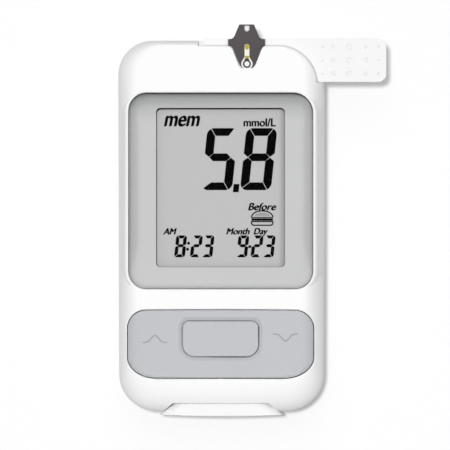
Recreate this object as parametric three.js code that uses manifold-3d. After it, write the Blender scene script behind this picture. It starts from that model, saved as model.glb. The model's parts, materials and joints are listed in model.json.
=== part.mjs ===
// A blood glucose meter lying on its back, with a test strip in its port.
// Millimetres. +X is its right, +Y runs towards the strip port and +Z comes out of its front.
// The origin is on its back face, half way along and across the body.
import * as THREE from 'three';
import { mergeVertices } from 'three/addons/utils/BufferGeometryUtils.js';
import Module from 'manifold-3d';

const wasm = await Module();
wasm.setup();

// Driving dimensions of the moulded body
const BODY = {
  width: 50.0,
  topY: 45.2,
  bottomY: -45.1,
  depth: 18.5,
  wall: 1.8,
  partingZ: 8.5,
  partingGap: 0.1,
  bottomCrown: 0.5,
  bottomTaper: 0.2,
  cornerTop: 8.3,
  cornerBottom: 9.0,
  cornerTopFront: 6.8,
  cornerBottomFront: 6.5,
  cornerRear: 6.0,
  roundSide: 5.0,
  roundTop: 1.4,
  roundBottom: 8.5,
  roundFrontHeight: 6.0,
  roundRear: 4.5,
  roundRearHeight: 5.0,
  tongueThick: 0.8,
  tongueHigh: 1.2,
};

// Driving dimensions of the display
const DISPLAY = {
  side: 2.65,
  topMargin: 12.7,
  keyGap: 4.9,
  corner: 4.3,
  rim: 0.2,
  rimDrop: 0.3,
  floorDrop: 1.55,
  dishSide: 2.2,
  dishTop: 3.4,
  dishBottom: 1.6,
  panelThick: 0.95,
  lip: 0.5,
  frameSide: 6.75,
  frameTop: 3.7,
  frameBottom: 4.9,
  windowCorner: 0.8,
  paneMargin: 1.2,
  paneThick: 0.8,
  glassMargin: 1.7,
  glassThick: 1.4,
  glassGap: 0.3,
  ledgeThick: 1.2,
  ledgeMargin: 1.4,
  holderWall: 1.6,
  zebraWide: 1.8,
};

// Driving dimensions of the keys
const KEYS = {
  side: 2.5,
  endMargin: 8.6,
  high: 16.7,
  topCorner: 4.5,
  bottomCornerWide: 7.1,
  bottomCornerHigh: 5.1,
  topCrown: 0.35,
  proud: 0.15,
  gap: 0.3,
  capThick: 1.4,
  skirtThick: 1.1,
  skirtDrop: 2.6,
  arrowInset: 6.7,
  arrowDrop: 7.2,
  wing: 13.3,
  buttonDrop: 2.9,
  buttonRise: 5.2,
  buttonTopCorner: 1.5,
  buttonBottomCorner: 2.9,
  grooveWide: 1.15,
  grooveDeep: 0.45,
  flangeMargin: 0.8,
  flangeThick: 0.7,
  flangeGap: 0.45,
  plungerRadius: 1.6,
  plungerGap: 0.45,
  pinRadius: 0.7,
  pinDrop: 3.1,
  pinReach: 1.6,
  pinGap: 0.15,
  lugHalfWidth: 1.5,
  lugThick: 1.2,
  rimThick: 1.2,
  rimDrop: 3.0,
  saddleHalf: 2.4,
  saddleLong: 2.2,
  saddleDrop: 4.2,
};
const KEYPAD = {
  side: 2.0,
  edge: 1.9,
  corner: 3.0,
  wall: 1.2,
  sheetThick: 0.8,
  bumpHigh: 0.5,
  bumpRadius: 2.6,
  domeRadius: 2.4,
  domeHigh: 0.5,
  domeGap: 0.3,
  domeShares: [[1, 0.2], [0.75, 0.7], [0.4, 0.95]],
};

// Driving dimensions of the test strip and of its port
const STRIP = {
  tail: 10.55,
  long: 44.3,
  wide: 10.5,
  inset: 10.1,
  drop: 3.75,
  thick: 0.7,
  corner: 2.0,
  leftCorner: 0.4,
  labelX: 6.35,
  labelRise: 9.55,
  labelTopReach: 4.4,
  labelTopHalf: 1.65,
  labelTopCorner: 0.35,
  labelWaistHalf: 2.9,
  labelWaistRise: 1.4,
  labelEarHalf: 4.45,
  labelEarRise: 0.77,
  labelEarFoot: 0.6,
  labelFootDrop: 5.2,
  labelFootRadius: 2.0,
  labelFootHalf: 1.15,
  labelFootCut: 0.95,
  labelThick: 0.12,
  tabInset: 0.05,
  windowHalf: 0.65,
  windowTopGap: 0.2,
  windowHigh: 1.5,
  channelHalf: 0.62,
  channelRise: 0.3,
  ringRadius: 1.42,
  electrodeHalfWide: 0.52,
  electrodeHalfHigh: 0.68,
  electrodeDrop: 0.75,
  filmGap: 0.04,
  channelThick: 0.05,
  electrodeThick: 0.04,
};
const PORT = {
  floorGap: 0.15,
  roofGap: 0.18,
  endGap: 0.3,
  sideGap: 1.2,
  floorThick: 1.3,
  ledge: 1.4,
  rightInset: 11.1,
  rightCornerRadius: 9.4,
  notchGap: 0.25,
  wall: 1.2,
  browWide: 1.6,
};
const CONNECTOR = {
  halfWide: 3.35,
  inset: 0.3,
  deep: 4.0,
  wall: 0.4,
  floorThick: 0.25,
  pitch: 2.0,
  leafHalf: 0.4,
  leafThick: 0.12,
  leafShares: [[1, 0], [0.08, 0], [0, 0.1], [0.04, 0.28], [0.5, 1], [0.7, 0.8]],
};

// Driving dimensions of the battery bay, its cells and its cover
const CELL = {
  length: 44.5,
  nubRadius: 1.9,
  nubHigh: 0.8,
  edge: 0.5,
  gap: 0.3,
};
const BAY = {
  sideGap: 0.75,
  endMargin: 5.6,
  springRoom: 3.8,
  boardGap: 0.1,
  wall: 1.2,
  plateThick: 0.4,
  plateSide: 1.05,
  plateEnd: 1.25,
  plateGap: 0.1,
  cellGap: 0.3,
  wireRadius: 0.3,
  springRadius: 2.6,
  springTip: 1.7,
  tabHalf: 0.9,
};
const COVER = {
  border: 2.3,
  headroom: 1.4,
  thick: 1.3,
  gap: 0.25,
  corner: 1.5,
  railWide: 0.9,
  railThick: 0.6,
  railInset: 3.0,
  railEnd: 6.6,
  plateEnd: 1.9,
  tongueHalf: 5.0,
  tongueLong: 1.1,
  lipReach: 2.7,
  lipProud: 0.9,
  lipSide: 9.4,
  lipSpread: 4.0,
  lipDrop: 3.9,
  lipFarDrop: 4.6,
  lipEdge: 1.6,
  lipWall: 1.3,
  lipBulge: 0.9,
  linerThick: 1.2,
};

// Driving dimensions of the board and of what it carries
const BOARD = {
  inset: 2.4,
  drop: 6.2,
  thick: 0.8,
  endMargin: 5.5,
  seat: 0.1,
  notchGap: 0.3,
  restSide: 6.0,
  restDrops: [43.2, 18.2],
  restRadius: 1.5,
  ribGap: 2.6,
};
const MICROCONTROLLER = { x: -8.0, rise: 7.9, halfWide: 5.0, halfHigh: 5.0, thick: 1.4, chamfer: 0.3 };
const RADIO = { x: 7.0, rise: 17.9, halfWide: 6.5, halfHigh: 4.5, thick: 2.0, chamfer: 0.4 };
const CRYSTAL = { x: -8.0, rise: 17.9, halfWide: 4.0, halfHigh: 1.6, thick: 2.4, chamfer: 1.2 };
const BUZZER = { x: 7.5, rise: 7.5, radius: 5.0, high: 3.4, holeRadius: 0.9, holeDeep: 1.2 };
const SCREW = {
  topSide: 6.0,
  topDrop: 6.5,
  bottomSide: 6.5,
  bottomRise: 5.9,
  shankRadius: 0.95,
  headRadius: 1.95,
  headHigh: 1.5,
  headZ: 1.4,
  tipDrop: 5.3,
  tipTaper: 0.8,
  headEdge: 0.35,
  bossRadius: 2.5,
  postRadius: 2.8,
  holeGap: 0.2,
  jointRise: 0.4,
  jointGap: 0.15,
  deepen: 0.5,
};

// Counts of facets and one overrun that every cut shares
const CORNER_STEPS = 6;
const ROUND_STEPS = 5;
const DISH_STEPS = 4;
const CROWN_STEPS = 4;
const CURVE_STEPS = 6;
const CHIP_STEPS = 2;
const ROUND_SIDES = 24;
const SMALL_SIDES = 12;
const SPRING_STEPS = 8;
const SPRING_SIDES = 5;
const SPRING_CURLS = 2.5;
const OVERRUN = 1.0;

// Heights that follow from the driving dimensions, from the front inwards
const FRONT_Z = BODY.depth + OVERRUN;
const FUSE_Z = BODY.depth - BODY.wall / 2;
const DISH_Z = BODY.depth - DISPLAY.floorDrop;
const BEZEL_UNDER_Z = DISH_Z - DISPLAY.panelThick;
const LIP_UNDER_Z = DISH_Z - DISPLAY.lip;
const BOARD_LOW_Z = BODY.depth - BOARD.drop;
const LEDGE_TOP_Z = BEZEL_UNDER_Z - BOARD.seat;
const LEDGE_LOW_Z = LEDGE_TOP_Z - DISPLAY.ledgeThick;
const PANE_TOP_Z = LIP_UNDER_Z - BOARD.seat;
const GLASS_TOP_Z = PANE_TOP_Z - DISPLAY.paneThick - BOARD.seat;
const GLASS_LOW_Z = GLASS_TOP_Z - DISPLAY.glassThick;
const BOARD_TOP_Z = BOARD_LOW_Z + BOARD.thick;
const ON_BOARD_Z = BOARD_TOP_Z + BOARD.seat;
const UNDER_BOARD_Z = BOARD_LOW_Z - BOARD.seat;
const CAP_UNDER_Z = BODY.depth + KEYS.proud - KEYS.capThick;
const PIN_Z = BODY.depth - KEYS.pinDrop;
const SADDLE_Z = BODY.depth - KEYS.saddleDrop;
const DOME_TOP_Z = ON_BOARD_Z + KEYPAD.domeHigh;
const SHEET_LOW_Z = DOME_TOP_Z + KEYPAD.domeGap;
const SHEET_TOP_Z = SHEET_LOW_Z + KEYPAD.sheetThick;
const BUMP_TOP_Z = SHEET_TOP_Z + KEYPAD.bumpHigh;
const PLUNGER_Z = BUMP_TOP_Z + KEYS.plungerGap;
const STRIP_LOW_Z = BODY.depth - STRIP.drop;
const STRIP_TOP_Z = STRIP_LOW_Z + STRIP.thick;
const FILM_Z = STRIP_TOP_Z + STRIP.filmGap;
const LABEL_TOP_Z = FILM_Z + STRIP.labelThick;
const SLOT_FLOOR_Z = STRIP_LOW_Z - PORT.floorGap;
const SLOT_ROOF_Z = LABEL_TOP_Z + PORT.roofGap;
const CONNECTOR_TOP_Z = SLOT_FLOOR_Z - PORT.floorGap;
const JOINT_Z = BODY.partingZ + SCREW.jointRise;
const SCREW_TIP_Z = BODY.depth - SCREW.tipDrop;
const LIP_TOP_Z = BODY.depth - COVER.lipDrop;
const LIP_FAR_Z = BODY.depth - COVER.lipFarDrop;

// A cell fills the height between the cover and the board, and lies beside its neighbour
const CELL_RADIUS = (UNDER_BOARD_Z - BAY.boardGap - COVER.thick - BAY.cellGap) / 2;
const CELL_Z = COVER.thick + BAY.cellGap + CELL_RADIUS;
const CELL_X = CELL_RADIUS + CELL.gap / 2;
const PLATE_IN = BAY.plateGap + BAY.plateThick;

// Edges that follow from the driving dimensions, each panel from the body's edges or its neighbour
const HALF_WIDTH = BODY.width / 2;
const keyPanel = {
  left: KEYS.side - HALF_WIDTH,
  right: HALF_WIDTH - KEYS.side,
  bottom: BODY.bottomY + KEYS.endMargin,
  top: BODY.bottomY + KEYS.endMargin + KEYS.high,
  topCorner: KEYS.topCorner,
  wide: KEYS.bottomCornerWide,
  high: KEYS.bottomCornerHigh,
  crown: KEYS.topCrown,
};
const buttonPanel = {
  left: keyPanel.left + KEYS.wing,
  right: keyPanel.right - KEYS.wing,
  bottom: keyPanel.bottom + KEYS.buttonRise,
  top: keyPanel.top - KEYS.buttonDrop,
  topCorner: KEYS.buttonTopCorner,
  wide: KEYS.buttonBottomCorner,
};
const ARROW_X = keyPanel.right - KEYS.arrowInset;
const ARROW_Y = keyPanel.top - KEYS.arrowDrop;
const bezelPanel = {
  left: DISPLAY.side - HALF_WIDTH,
  right: HALF_WIDTH - DISPLAY.side,
  bottom: keyPanel.top + DISPLAY.keyGap,
  top: BODY.topY - DISPLAY.topMargin,
  topCorner: DISPLAY.corner,
};
const windowPanel = {
  left: bezelPanel.left + DISPLAY.frameSide,
  right: bezelPanel.right - DISPLAY.frameSide,
  bottom: bezelPanel.bottom + DISPLAY.frameBottom,
  top: bezelPanel.top - DISPLAY.frameTop,
  topCorner: DISPLAY.windowCorner,
};
const strip = {
  left: STRIP.labelX - STRIP.tail,
  right: STRIP.labelX - STRIP.tail + STRIP.long,
  bottom: BODY.topY - STRIP.inset,
  top: BODY.topY - STRIP.inset + STRIP.wide,
};
const LABEL_Y = strip.bottom + STRIP.labelRise;
const RING_Y = LABEL_Y - STRIP.labelFootDrop;
const SLOT_LEFT_X = strip.left - PORT.sideGap;
const SLOT_END_Y = strip.bottom - PORT.endGap;
const PANEL_TOP_Y = BODY.topY - PORT.ledge;
const PANEL_RIGHT_X = HALF_WIDTH - PORT.rightInset;
const RIGHT_LEDGE_Y = PANEL_TOP_Y - PORT.rightCornerRadius;
const connector = {
  left: STRIP.labelX - CONNECTOR.halfWide,
  right: STRIP.labelX + CONNECTOR.halfWide,
  bottom: strip.bottom + CONNECTOR.inset,
  top: strip.bottom + CONNECTOR.inset + CONNECTOR.deep,
};
const bay = {
  half: CELL_X + CELL_RADIUS + BAY.sideGap,
  bottom: BODY.bottomY + BAY.endMargin,
  top: BODY.bottomY + BAY.endMargin + CELL.length + 2 * PLATE_IN + BAY.cellGap + BAY.springRoom,
};
const coverPlate = {
  left: -bay.half - COVER.border,
  right: bay.half + COVER.border,
  bottom: BODY.bottomY + COVER.plateEnd,
  top: bay.top + COVER.headroom,
  topCorner: COVER.corner,
};
const lip = {
  topHalf: HALF_WIDTH - COVER.lipSide - COVER.lipSpread,
  bottomHalf: HALF_WIDTH - COVER.lipSide,
  topY: BODY.bottomY + COVER.lipReach,
  bottomY: BODY.bottomY - COVER.lipProud,
};
const BEYOND_Y = lip.bottomY - OVERRUN;

// Materials, one for each finish
const finish = (color, roughness, metalness = 0) =>
  new THREE.MeshStandardMaterial({ color, roughness, metalness });
const FINISH = {
  white: () => finish(0xf4f4f5, 0.45),
  bezel: () => finish(0xc9c9cd, 0.5),
  key: () => finish(0xc7c8cc, 0.5),
  clear: () => finish(0xe8eef0, 0.1),
  lcd: () => finish(0xc3c4c3, 0.35),
  strip: () => finish(0xf3f3f4, 0.5),
  label: () => finish(0x5c575a, 0.5),
  gold: () => finish(0xbea642, 0.35, 0.6),
  cream: () => finish(0xf3f0e0, 0.5),
  board: () => finish(0x1e6b3c, 0.5),
  chip: () => finish(0x202124, 0.45),
  metal: () => finish(0xb9bcc0, 0.3, 1.0),
  silicone: () => finish(0xd8d8d8, 0.8),
  holder: () => finish(0xeeeeea, 0.6),
  cell: () => finish(0x3a3d42, 0.4, 0.3),
  black: () => finish(0x2a2a2c, 0.6),
};

// Closed solids from geometries, and geometries from solids

// A geometry with its shared corners merged, its empty faces dropped and its faces pointing out.
function solid(geometry) {
  const bare = geometry.clone();
  bare.deleteAttribute('normal');
  bare.deleteAttribute('uv');
  const merged = mergeVertices(bare);
  const corners = merged.getAttribute('position');
  const faces = [];
  const a = new THREE.Vector3();
  const b = new THREE.Vector3();
  const c = new THREE.Vector3();
  let volume = 0;
  for (let i = 0; i < merged.index.count; i += 3) {
    const [p, q, r] = [merged.index.getX(i), merged.index.getX(i + 1), merged.index.getX(i + 2)];
    if (p === q || q === r || r === p) continue;
    faces.push([p, q, r]);
    volume += a.fromBufferAttribute(corners, p)
      .dot(b.fromBufferAttribute(corners, q).cross(c.fromBufferAttribute(corners, r)));
  }
  const outward = volume < 0 ? faces.map(([p, q, r]) => [p, r, q]) : faces;
  return new wasm.Manifold(new wasm.Mesh({
    numProp: 3,
    vertProperties: new Float32Array(corners.array),
    triVerts: new Uint32Array(outward.flat()),
  }));
}

function geometryOf(body) {
  const mesh = body.getMesh();
  const geometry = new THREE.BufferGeometry();
  geometry.setAttribute('position', new THREE.BufferAttribute(new Float32Array(mesh.vertProperties), 3));
  geometry.setIndex(new THREE.BufferAttribute(new Uint32Array(mesh.triVerts), 1));
  geometry.computeVertexNormals();
  return geometry;
}

// A block between two corners.
function block(left, right, bottom, top, low, high) {
  const geometry = new THREE.BoxGeometry(right - left, top - bottom, high - low);
  geometry.translate((left + right) / 2, (bottom + top) / 2, (low + high) / 2);
  return solid(geometry);
}

// A flat shape raised along Z between two heights.
function prism(shape, low, high) {
  const geometry = new THREE.ExtrudeGeometry(shape, {
    depth: high - low, bevelEnabled: false, curveSegments: CURVE_STEPS,
  });
  geometry.translate(0, 0, low);
  return solid(geometry);
}

// A profile in Y and Z drawn out along X between two places.
function beam(shape, left, right) {
  const geometry = new THREE.ExtrudeGeometry(shape, {
    depth: right - left, bevelEnabled: false, curveSegments: CURVE_STEPS,
  });
  geometry.rotateZ(Math.PI / 2);
  geometry.rotateY(Math.PI / 2);
  geometry.translate(left, 0, 0);
  return solid(geometry);
}

// A round post along Z.
function post(x, y, radius, low, high, sides = SMALL_SIDES) {
  const geometry = new THREE.CylinderGeometry(radius, radius, high - low, sides);
  geometry.rotateX(Math.PI / 2);
  geometry.translate(x, y, (low + high) / 2);
  return solid(geometry);
}

// A round pin along Y.
function pin(x, z, radius, bottom, top, sides = SMALL_SIDES) {
  const geometry = new THREE.CylinderGeometry(radius, radius, top - bottom, sides);
  geometry.translate(x, (bottom + top) / 2, z);
  return solid(geometry);
}

// A profile of [radius, height] turned about the Z axis of its place.
function turned(profile, x, y, sides = SMALL_SIDES) {
  const points = profile.map(([radius, height]) => new THREE.Vector2(radius, height));
  const geometry = new THREE.LatheGeometry(points, sides);
  geometry.rotateX(Math.PI / 2);
  geometry.translate(x, y, 0);
  return solid(geometry);
}

// A skin over rings of equal count, each a list of points at its own height, closed at both ends.
function loft(rings) {
  const count = rings[0].points.length;
  const position = [];
  rings.forEach(({ points, z }) => points.forEach((p) => position.push(p.x, p.y, z)));
  const index = [];
  for (let ring = 0; ring + 1 < rings.length; ring += 1) {
    for (let i = 0; i < count; i += 1) {
      const here = ring * count + i;
      const next = ring * count + ((i + 1) % count);
      index.push(here, next, next + count);
      index.push(here, next + count, here + count);
    }
  }
  const last = (rings.length - 1) * count;
  THREE.ShapeUtils.triangulateShape(rings[0].points, []).forEach(([p, q, r]) => index.push(p, r, q));
  THREE.ShapeUtils.triangulateShape(rings.at(-1).points, [])
    .forEach(([p, q, r]) => index.push(last + p, last + q, last + r));
  const geometry = new THREE.BufferGeometry();
  geometry.setAttribute('position', new THREE.Float32BufferAttribute(position, 3));
  geometry.setIndex(index);
  return solid(geometry);
}

// The points of a closed shape at one height, without any that repeat their neighbour.
const NEAR = 1e-6;
function ringOf(shape, z, steps = CURVE_STEPS) {
  const points = shape.getPoints(steps);
  return { points: points.filter((p, i) => p.distanceTo(points.at(i - 1)) > NEAR), z };
}

const joined = (...bodies) => bodies.reduce((whole, body) => whole.add(body));

// Outlines and the moulded body

const QUARTER = Math.PI / 2;
const mix = (from, to, share) => from + (to - from) * share;

// A panel outline with round top corners, elliptical bottom corners and a crowned top edge.
// Grow moves the whole edge outwards, or inwards where it is negative.
function panelShape(panel, grow = 0) {
  const { left, right, bottom, top, topCorner } = panel;
  const { wide = topCorner, high = wide, crown = 0 } = panel;
  const [x0, x1, y0, y1] = [left - grow, right + grow, bottom - grow, top + grow - crown];
  const [upper, across, up] = [topCorner + grow, wide + grow, high + grow].map((r) => Math.max(r, 0));
  const shape = new THREE.Shape();
  shape.moveTo(x0, y0 + up);
  shape.absellipse(x0 + across, y0 + up, across, up, Math.PI, 3 * QUARTER);
  shape.lineTo(x1 - across, y0);
  shape.absellipse(x1 - across, y0 + up, across, up, 3 * QUARTER, 4 * QUARTER);
  shape.lineTo(x1, y1 - upper);
  shape.absarc(x1 - upper, y1 - upper, upper, 0, QUARTER);
  shape.quadraticCurveTo((x0 + x1) / 2, y1 + 2 * crown, x0 + upper, y1);
  shape.absarc(x0 + upper, y1 - upper, upper, QUARTER, Math.PI);
  return shape;
}

// The outline of the body at one height. Side, top and bottom say how far each edge has drawn in.
function bodyOutline(side, top, bottom, cornerTop, cornerBottom) {
  const half = BODY.width / 2 - side;
  const lowHalf = half - BODY.bottomTaper;
  const yTop = BODY.topY - top;
  const yEdge = BODY.bottomY + BODY.bottomCrown + bottom;
  const points = [];
  const corner = (x, y, radius, start) => {
    for (let i = 0; i <= CORNER_STEPS; i += 1) {
      const angle = start + (i / CORNER_STEPS) * QUARTER;
      points.push(new THREE.Vector2(x + radius * Math.cos(angle), y + radius * Math.sin(angle)));
    }
  };
  corner(lowHalf - cornerBottom, yEdge + cornerBottom, cornerBottom, -QUARTER);
  corner(half - cornerTop, yTop - cornerTop, cornerTop, 0);
  corner(cornerTop - half, yTop - cornerTop, cornerTop, QUARTER);
  corner(cornerBottom - lowHalf, yEdge + cornerBottom, cornerBottom, Math.PI);
  for (let i = 1; i < CROWN_STEPS; i += 1) {
    const across = (2 * i) / CROWN_STEPS - 1;
    const sag = BODY.bottomCrown * (1 - across * across);
    points.push(new THREE.Vector2(across * (lowHalf - cornerBottom), yEdge - sag));
  }
  return points;
}

// The whole body as one solid, drawn in by off all round, with its bottom end grown by extra.
// The side, top and bottom edges round over towards the front, and all edges round over at the back.
function bodySolid(off, extra = 0) {
  const rings = [];
  const ring = (drawn, side, top, bottom, cornerTop, cornerBottom, z) => {
    const inset = (round) => off + Math.max(round - off, 0) * drawn;
    const points = bodyOutline(
      inset(side), inset(top), inset(bottom) - extra,
      mix(BODY.cornerTop, cornerTop, drawn) - off, mix(BODY.cornerBottom, cornerBottom, drawn) - off,
    );
    rings.push({ points, z });
  };
  for (let i = 0; i <= ROUND_STEPS; i += 1) {
    const angle = (1 - i / ROUND_STEPS) * QUARTER;
    const z = BODY.roundRearHeight - (BODY.roundRearHeight - off) * Math.sin(angle);
    const round = BODY.roundRear;
    ring(1 - Math.cos(angle), round, round, round, BODY.cornerRear, BODY.cornerRear, z);
  }
  for (let i = 0; i <= ROUND_STEPS; i += 1) {
    const angle = (i / ROUND_STEPS) * QUARTER;
    const start = BODY.depth - BODY.roundFrontHeight;
    const z = start + (BODY.roundFrontHeight - off) * Math.sin(angle);
    ring(
      1 - Math.cos(angle), BODY.roundSide, BODY.roundTop, BODY.roundBottom,
      BODY.cornerTopFront, BODY.cornerBottomFront, z,
    );
  }
  return loft(rings);
}

// A slab wider than the body between two heights.
const slab = (low, high) =>
  block(-BODY.width, BODY.width, 2 * BODY.bottomY, 2 * BODY.topY, low, high);

// The parts are gathered here in one group.
const meter = new THREE.Group();
function add(name, body, material) {
  const mesh = new THREE.Mesh(geometryOf(body), material());
  mesh.name = name;
  meter.add(mesh);
}

// The test strip's label: a shield with two ears, a foot round the sample ring and a straight top.
function labelShape(grow) {
  const at = (half, rise) => [half + Math.sign(half) * grow, rise + Math.sign(rise) * grow];
  const right = [
    at(STRIP.labelFootHalf, -STRIP.labelFootDrop - STRIP.labelFootCut),
    at(STRIP.labelFootRadius, -STRIP.labelFootDrop),
    at(STRIP.labelWaistHalf, -STRIP.labelWaistRise),
    at(STRIP.labelEarHalf - STRIP.labelEarFoot, -STRIP.labelEarRise),
    at(STRIP.labelEarHalf, -STRIP.labelEarRise),
    at(STRIP.labelEarHalf, STRIP.labelEarRise),
    at(STRIP.labelEarHalf - STRIP.labelEarFoot, STRIP.labelEarRise),
    at(STRIP.labelWaistHalf, STRIP.labelWaistRise),
    at(STRIP.labelTopHalf, STRIP.labelTopReach - STRIP.labelTopCorner),
    at(STRIP.labelTopHalf - STRIP.labelTopCorner, STRIP.labelTopReach),
  ];
  const place = (side, [half, rise]) => [STRIP.labelX + side * half, LABEL_Y + rise];
  const bend = (side, [x0, y0], [x1, y1]) => [...place(side, [x0, y1]), ...place(side, [x1, y1])];
  const shape = new THREE.Shape();
  shape.moveTo(...place(1, right[0]));
  shape.quadraticCurveTo(...place(1, [right[1][0], right[0][1]]), ...place(1, right[1]));
  shape.lineTo(...place(1, right[2]));
  shape.quadraticCurveTo(...bend(1, right[2], right[3]));
  [4, 5, 6].forEach((i) => shape.lineTo(...place(1, right[i])));
  shape.quadraticCurveTo(...place(1, [right[7][0], right[6][1]]), ...place(1, right[7]));
  shape.lineTo(...place(1, right[8]));
  shape.quadraticCurveTo(...bend(1, right[8], right[9]));
  shape.lineTo(...place(-1, right[9]));
  shape.quadraticCurveTo(...place(-1, [right[8][0], right[9][1]]), ...place(-1, right[8]));
  shape.lineTo(...place(-1, right[7]));
  shape.quadraticCurveTo(...bend(-1, right[7], right[6]));
  [5, 4, 3].forEach((i) => shape.lineTo(...place(-1, right[i])));
  shape.quadraticCurveTo(...place(-1, [right[2][0], right[3][1]]), ...place(-1, right[2]));
  shape.lineTo(...place(-1, right[1]));
  shape.quadraticCurveTo(...bend(-1, right[1], right[0]));
  return shape;
}

// The front panel above the port: the strip shows beyond its straight top and its round right corner.
function portPanel(inset) {
  const shape = new THREE.Shape();
  const left = SLOT_LEFT_X - PORT.wall;
  const right = PANEL_RIGHT_X + PORT.rightCornerRadius - inset;
  const low = SLOT_END_Y - 2 * BODY.wall;
  shape.moveTo(left, low);
  shape.lineTo(right, low);
  shape.lineTo(right, RIGHT_LEDGE_Y);
  shape.absarc(PANEL_RIGHT_X, RIGHT_LEDGE_Y, PORT.rightCornerRadius - inset, 0, QUARTER);
  shape.lineTo(left, PANEL_TOP_Y - inset);
  return shape;
}

// The battery cover's thumb lip in plan: a trapezoid that widens towards the bottom end.
function lipShape(grow, farY) {
  const slope = (lip.bottomHalf - lip.topHalf) / (lip.topY - lip.bottomY);
  const shift = grow * Math.hypot(1, slope);
  const half = (y) => lip.topHalf + (lip.topY - y) * slope + shift;
  const top = lip.topY + grow;
  return new THREE.Shape([
    new THREE.Vector2(-half(farY), farY),
    new THREE.Vector2(half(farY), farY),
    new THREE.Vector2(half(top), top),
    new THREE.Vector2(-half(top), top),
  ]);
}

// Solids of the body that several pieces share
const outer = bodySolid(0);
const hollow = bodySolid(BODY.wall);
const carcass = bodySolid(BODY.wall / 2);
const screwPlaces = [
  ['top_left', SCREW.topSide - HALF_WIDTH, BODY.topY - SCREW.topDrop],
  ['top_right', HALF_WIDTH - SCREW.topSide, BODY.topY - SCREW.topDrop],
  ['bottom_left', SCREW.bottomSide - HALF_WIDTH, BODY.bottomY + SCREW.bottomRise],
  ['bottom_right', HALF_WIDTH - SCREW.bottomSide, BODY.bottomY + SCREW.bottomRise],
];

// The front housing: a shell with the display ledge, key opening, strip port and screw bosses.
function frontHousing() {
  const shell = outer.subtract(hollow).intersect(slab(BODY.partingZ + BODY.partingGap, FRONT_Z));
  const rebate = bodySolid(BODY.wall - BODY.tongueThick - BODY.partingGap)
    .intersect(slab(0, BODY.partingZ + BODY.tongueHigh + BODY.partingGap));
  const clearZ = BODY.partingZ + BODY.tongueHigh + 2 * BODY.partingGap;
  const ledge = prism(panelShape(bezelPanel, DISPLAY.ledgeMargin), LEDGE_LOW_Z, FUSE_Z);
  const keyRim = prism(panelShape(keyPanel, KEYS.gap + KEYS.rimThick), BODY.depth - KEYS.rimDrop, FUSE_Z);
  const saddles = [keyPanel.top + KEYS.gap, keyPanel.bottom - KEYS.gap - KEYS.saddleLong].map((y) =>
    block(-KEYS.saddleHalf, KEYS.saddleHalf, y, y + KEYS.saddleLong, SADDLE_Z, FUSE_Z));
  const bosses = screwPlaces.map(([, x, y]) =>
    post(x, y, SCREW.bossRadius, JOINT_Z + SCREW.jointGap, FUSE_Z));
  const portWalls = [
    block(SLOT_LEFT_X - PORT.wall, BODY.width, SLOT_END_Y - PORT.wall, BODY.topY,
      SLOT_FLOOR_Z - PORT.floorThick, SLOT_FLOOR_Z),
    block(SLOT_LEFT_X - PORT.wall, SLOT_LEFT_X, SLOT_END_Y - PORT.wall, BODY.topY,
      SLOT_FLOOR_Z - PORT.floorThick, FUSE_Z),
    block(SLOT_LEFT_X - PORT.wall, BODY.width, SLOT_END_Y - PORT.wall, SLOT_END_Y,
      SLOT_FLOOR_Z - PORT.floorThick, FUSE_Z),
  ];
  const brow = prism(portPanel(0), SLOT_ROOF_Z, FUSE_Z)
    .subtract(prism(portPanel(PORT.browWide), 0, FRONT_Z));
  const notchRim = prism(labelShape(PORT.notchGap + PORT.wall), SLOT_ROOF_Z, FUSE_Z);
  const liner = prism(lipShape(COVER.gap + COVER.linerThick, BEYOND_Y), clearZ, FUSE_Z);
  const inside = joined(ledge, keyRim, ...saddles, ...bosses, ...portWalls, brow, notchRim, liner)
    .intersect(carcass);

  const bezelSeat = prism(panelShape(bezelPanel, BOARD.seat), LEDGE_TOP_Z, FRONT_Z);
  const glassHole = prism(panelShape(windowPanel, DISPLAY.glassMargin + DISPLAY.glassGap), 0, FRONT_Z);
  const keyHole = prism(panelShape(keyPanel, KEYS.gap), 0, FRONT_Z);
  const saddleReach = KEYS.pinReach + KEYS.gap;
  const pinSlot = joined(
    pin(0, PIN_Z, KEYS.pinRadius + KEYS.pinGap, keyPanel.bottom - saddleReach, keyPanel.top + saddleReach),
    block(-KEYS.pinRadius - KEYS.pinGap, KEYS.pinRadius + KEYS.pinGap,
      keyPanel.bottom - saddleReach, keyPanel.top + saddleReach, SADDLE_Z - OVERRUN, PIN_Z),
  );
  const slot = block(SLOT_LEFT_X, BODY.width, SLOT_END_Y, 2 * BODY.topY, SLOT_FLOOR_Z, SLOT_ROOF_Z);
  const raised = prism(portPanel(0), 0, FRONT_Z);
  const ledgeCut = block(SLOT_LEFT_X, BODY.width, RIGHT_LEDGE_Y, 2 * BODY.topY, SLOT_FLOOR_Z, FRONT_Z)
    .subtract(raised);
  const notch = prism(labelShape(PORT.notchGap), SLOT_FLOOR_Z, FRONT_Z);
  const connectorHole = block(
    connector.left - KEYS.gap, connector.right + KEYS.gap,
    connector.bottom - KEYS.gap, connector.top + KEYS.gap, ON_BOARD_Z, SLOT_FLOOR_Z + PORT.floorGap,
  );
  const lipCut = prism(lipShape(COVER.gap, BEYOND_Y), -OVERRUN, FRONT_Z);
  const screwHoles = screwPlaces.map(([, x, y]) =>
    post(x, y, SCREW.shankRadius + SCREW.holeGap, 0, SCREW_TIP_Z + SCREW.deepen));
  return shell.subtract(rebate).add(inside).subtract(joined(
    bezelSeat, glassHole, keyHole, pinSlot, slot, ledgeCut, notch, connectorHole,
    lipCut, ...screwHoles,
  ));
}

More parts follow.
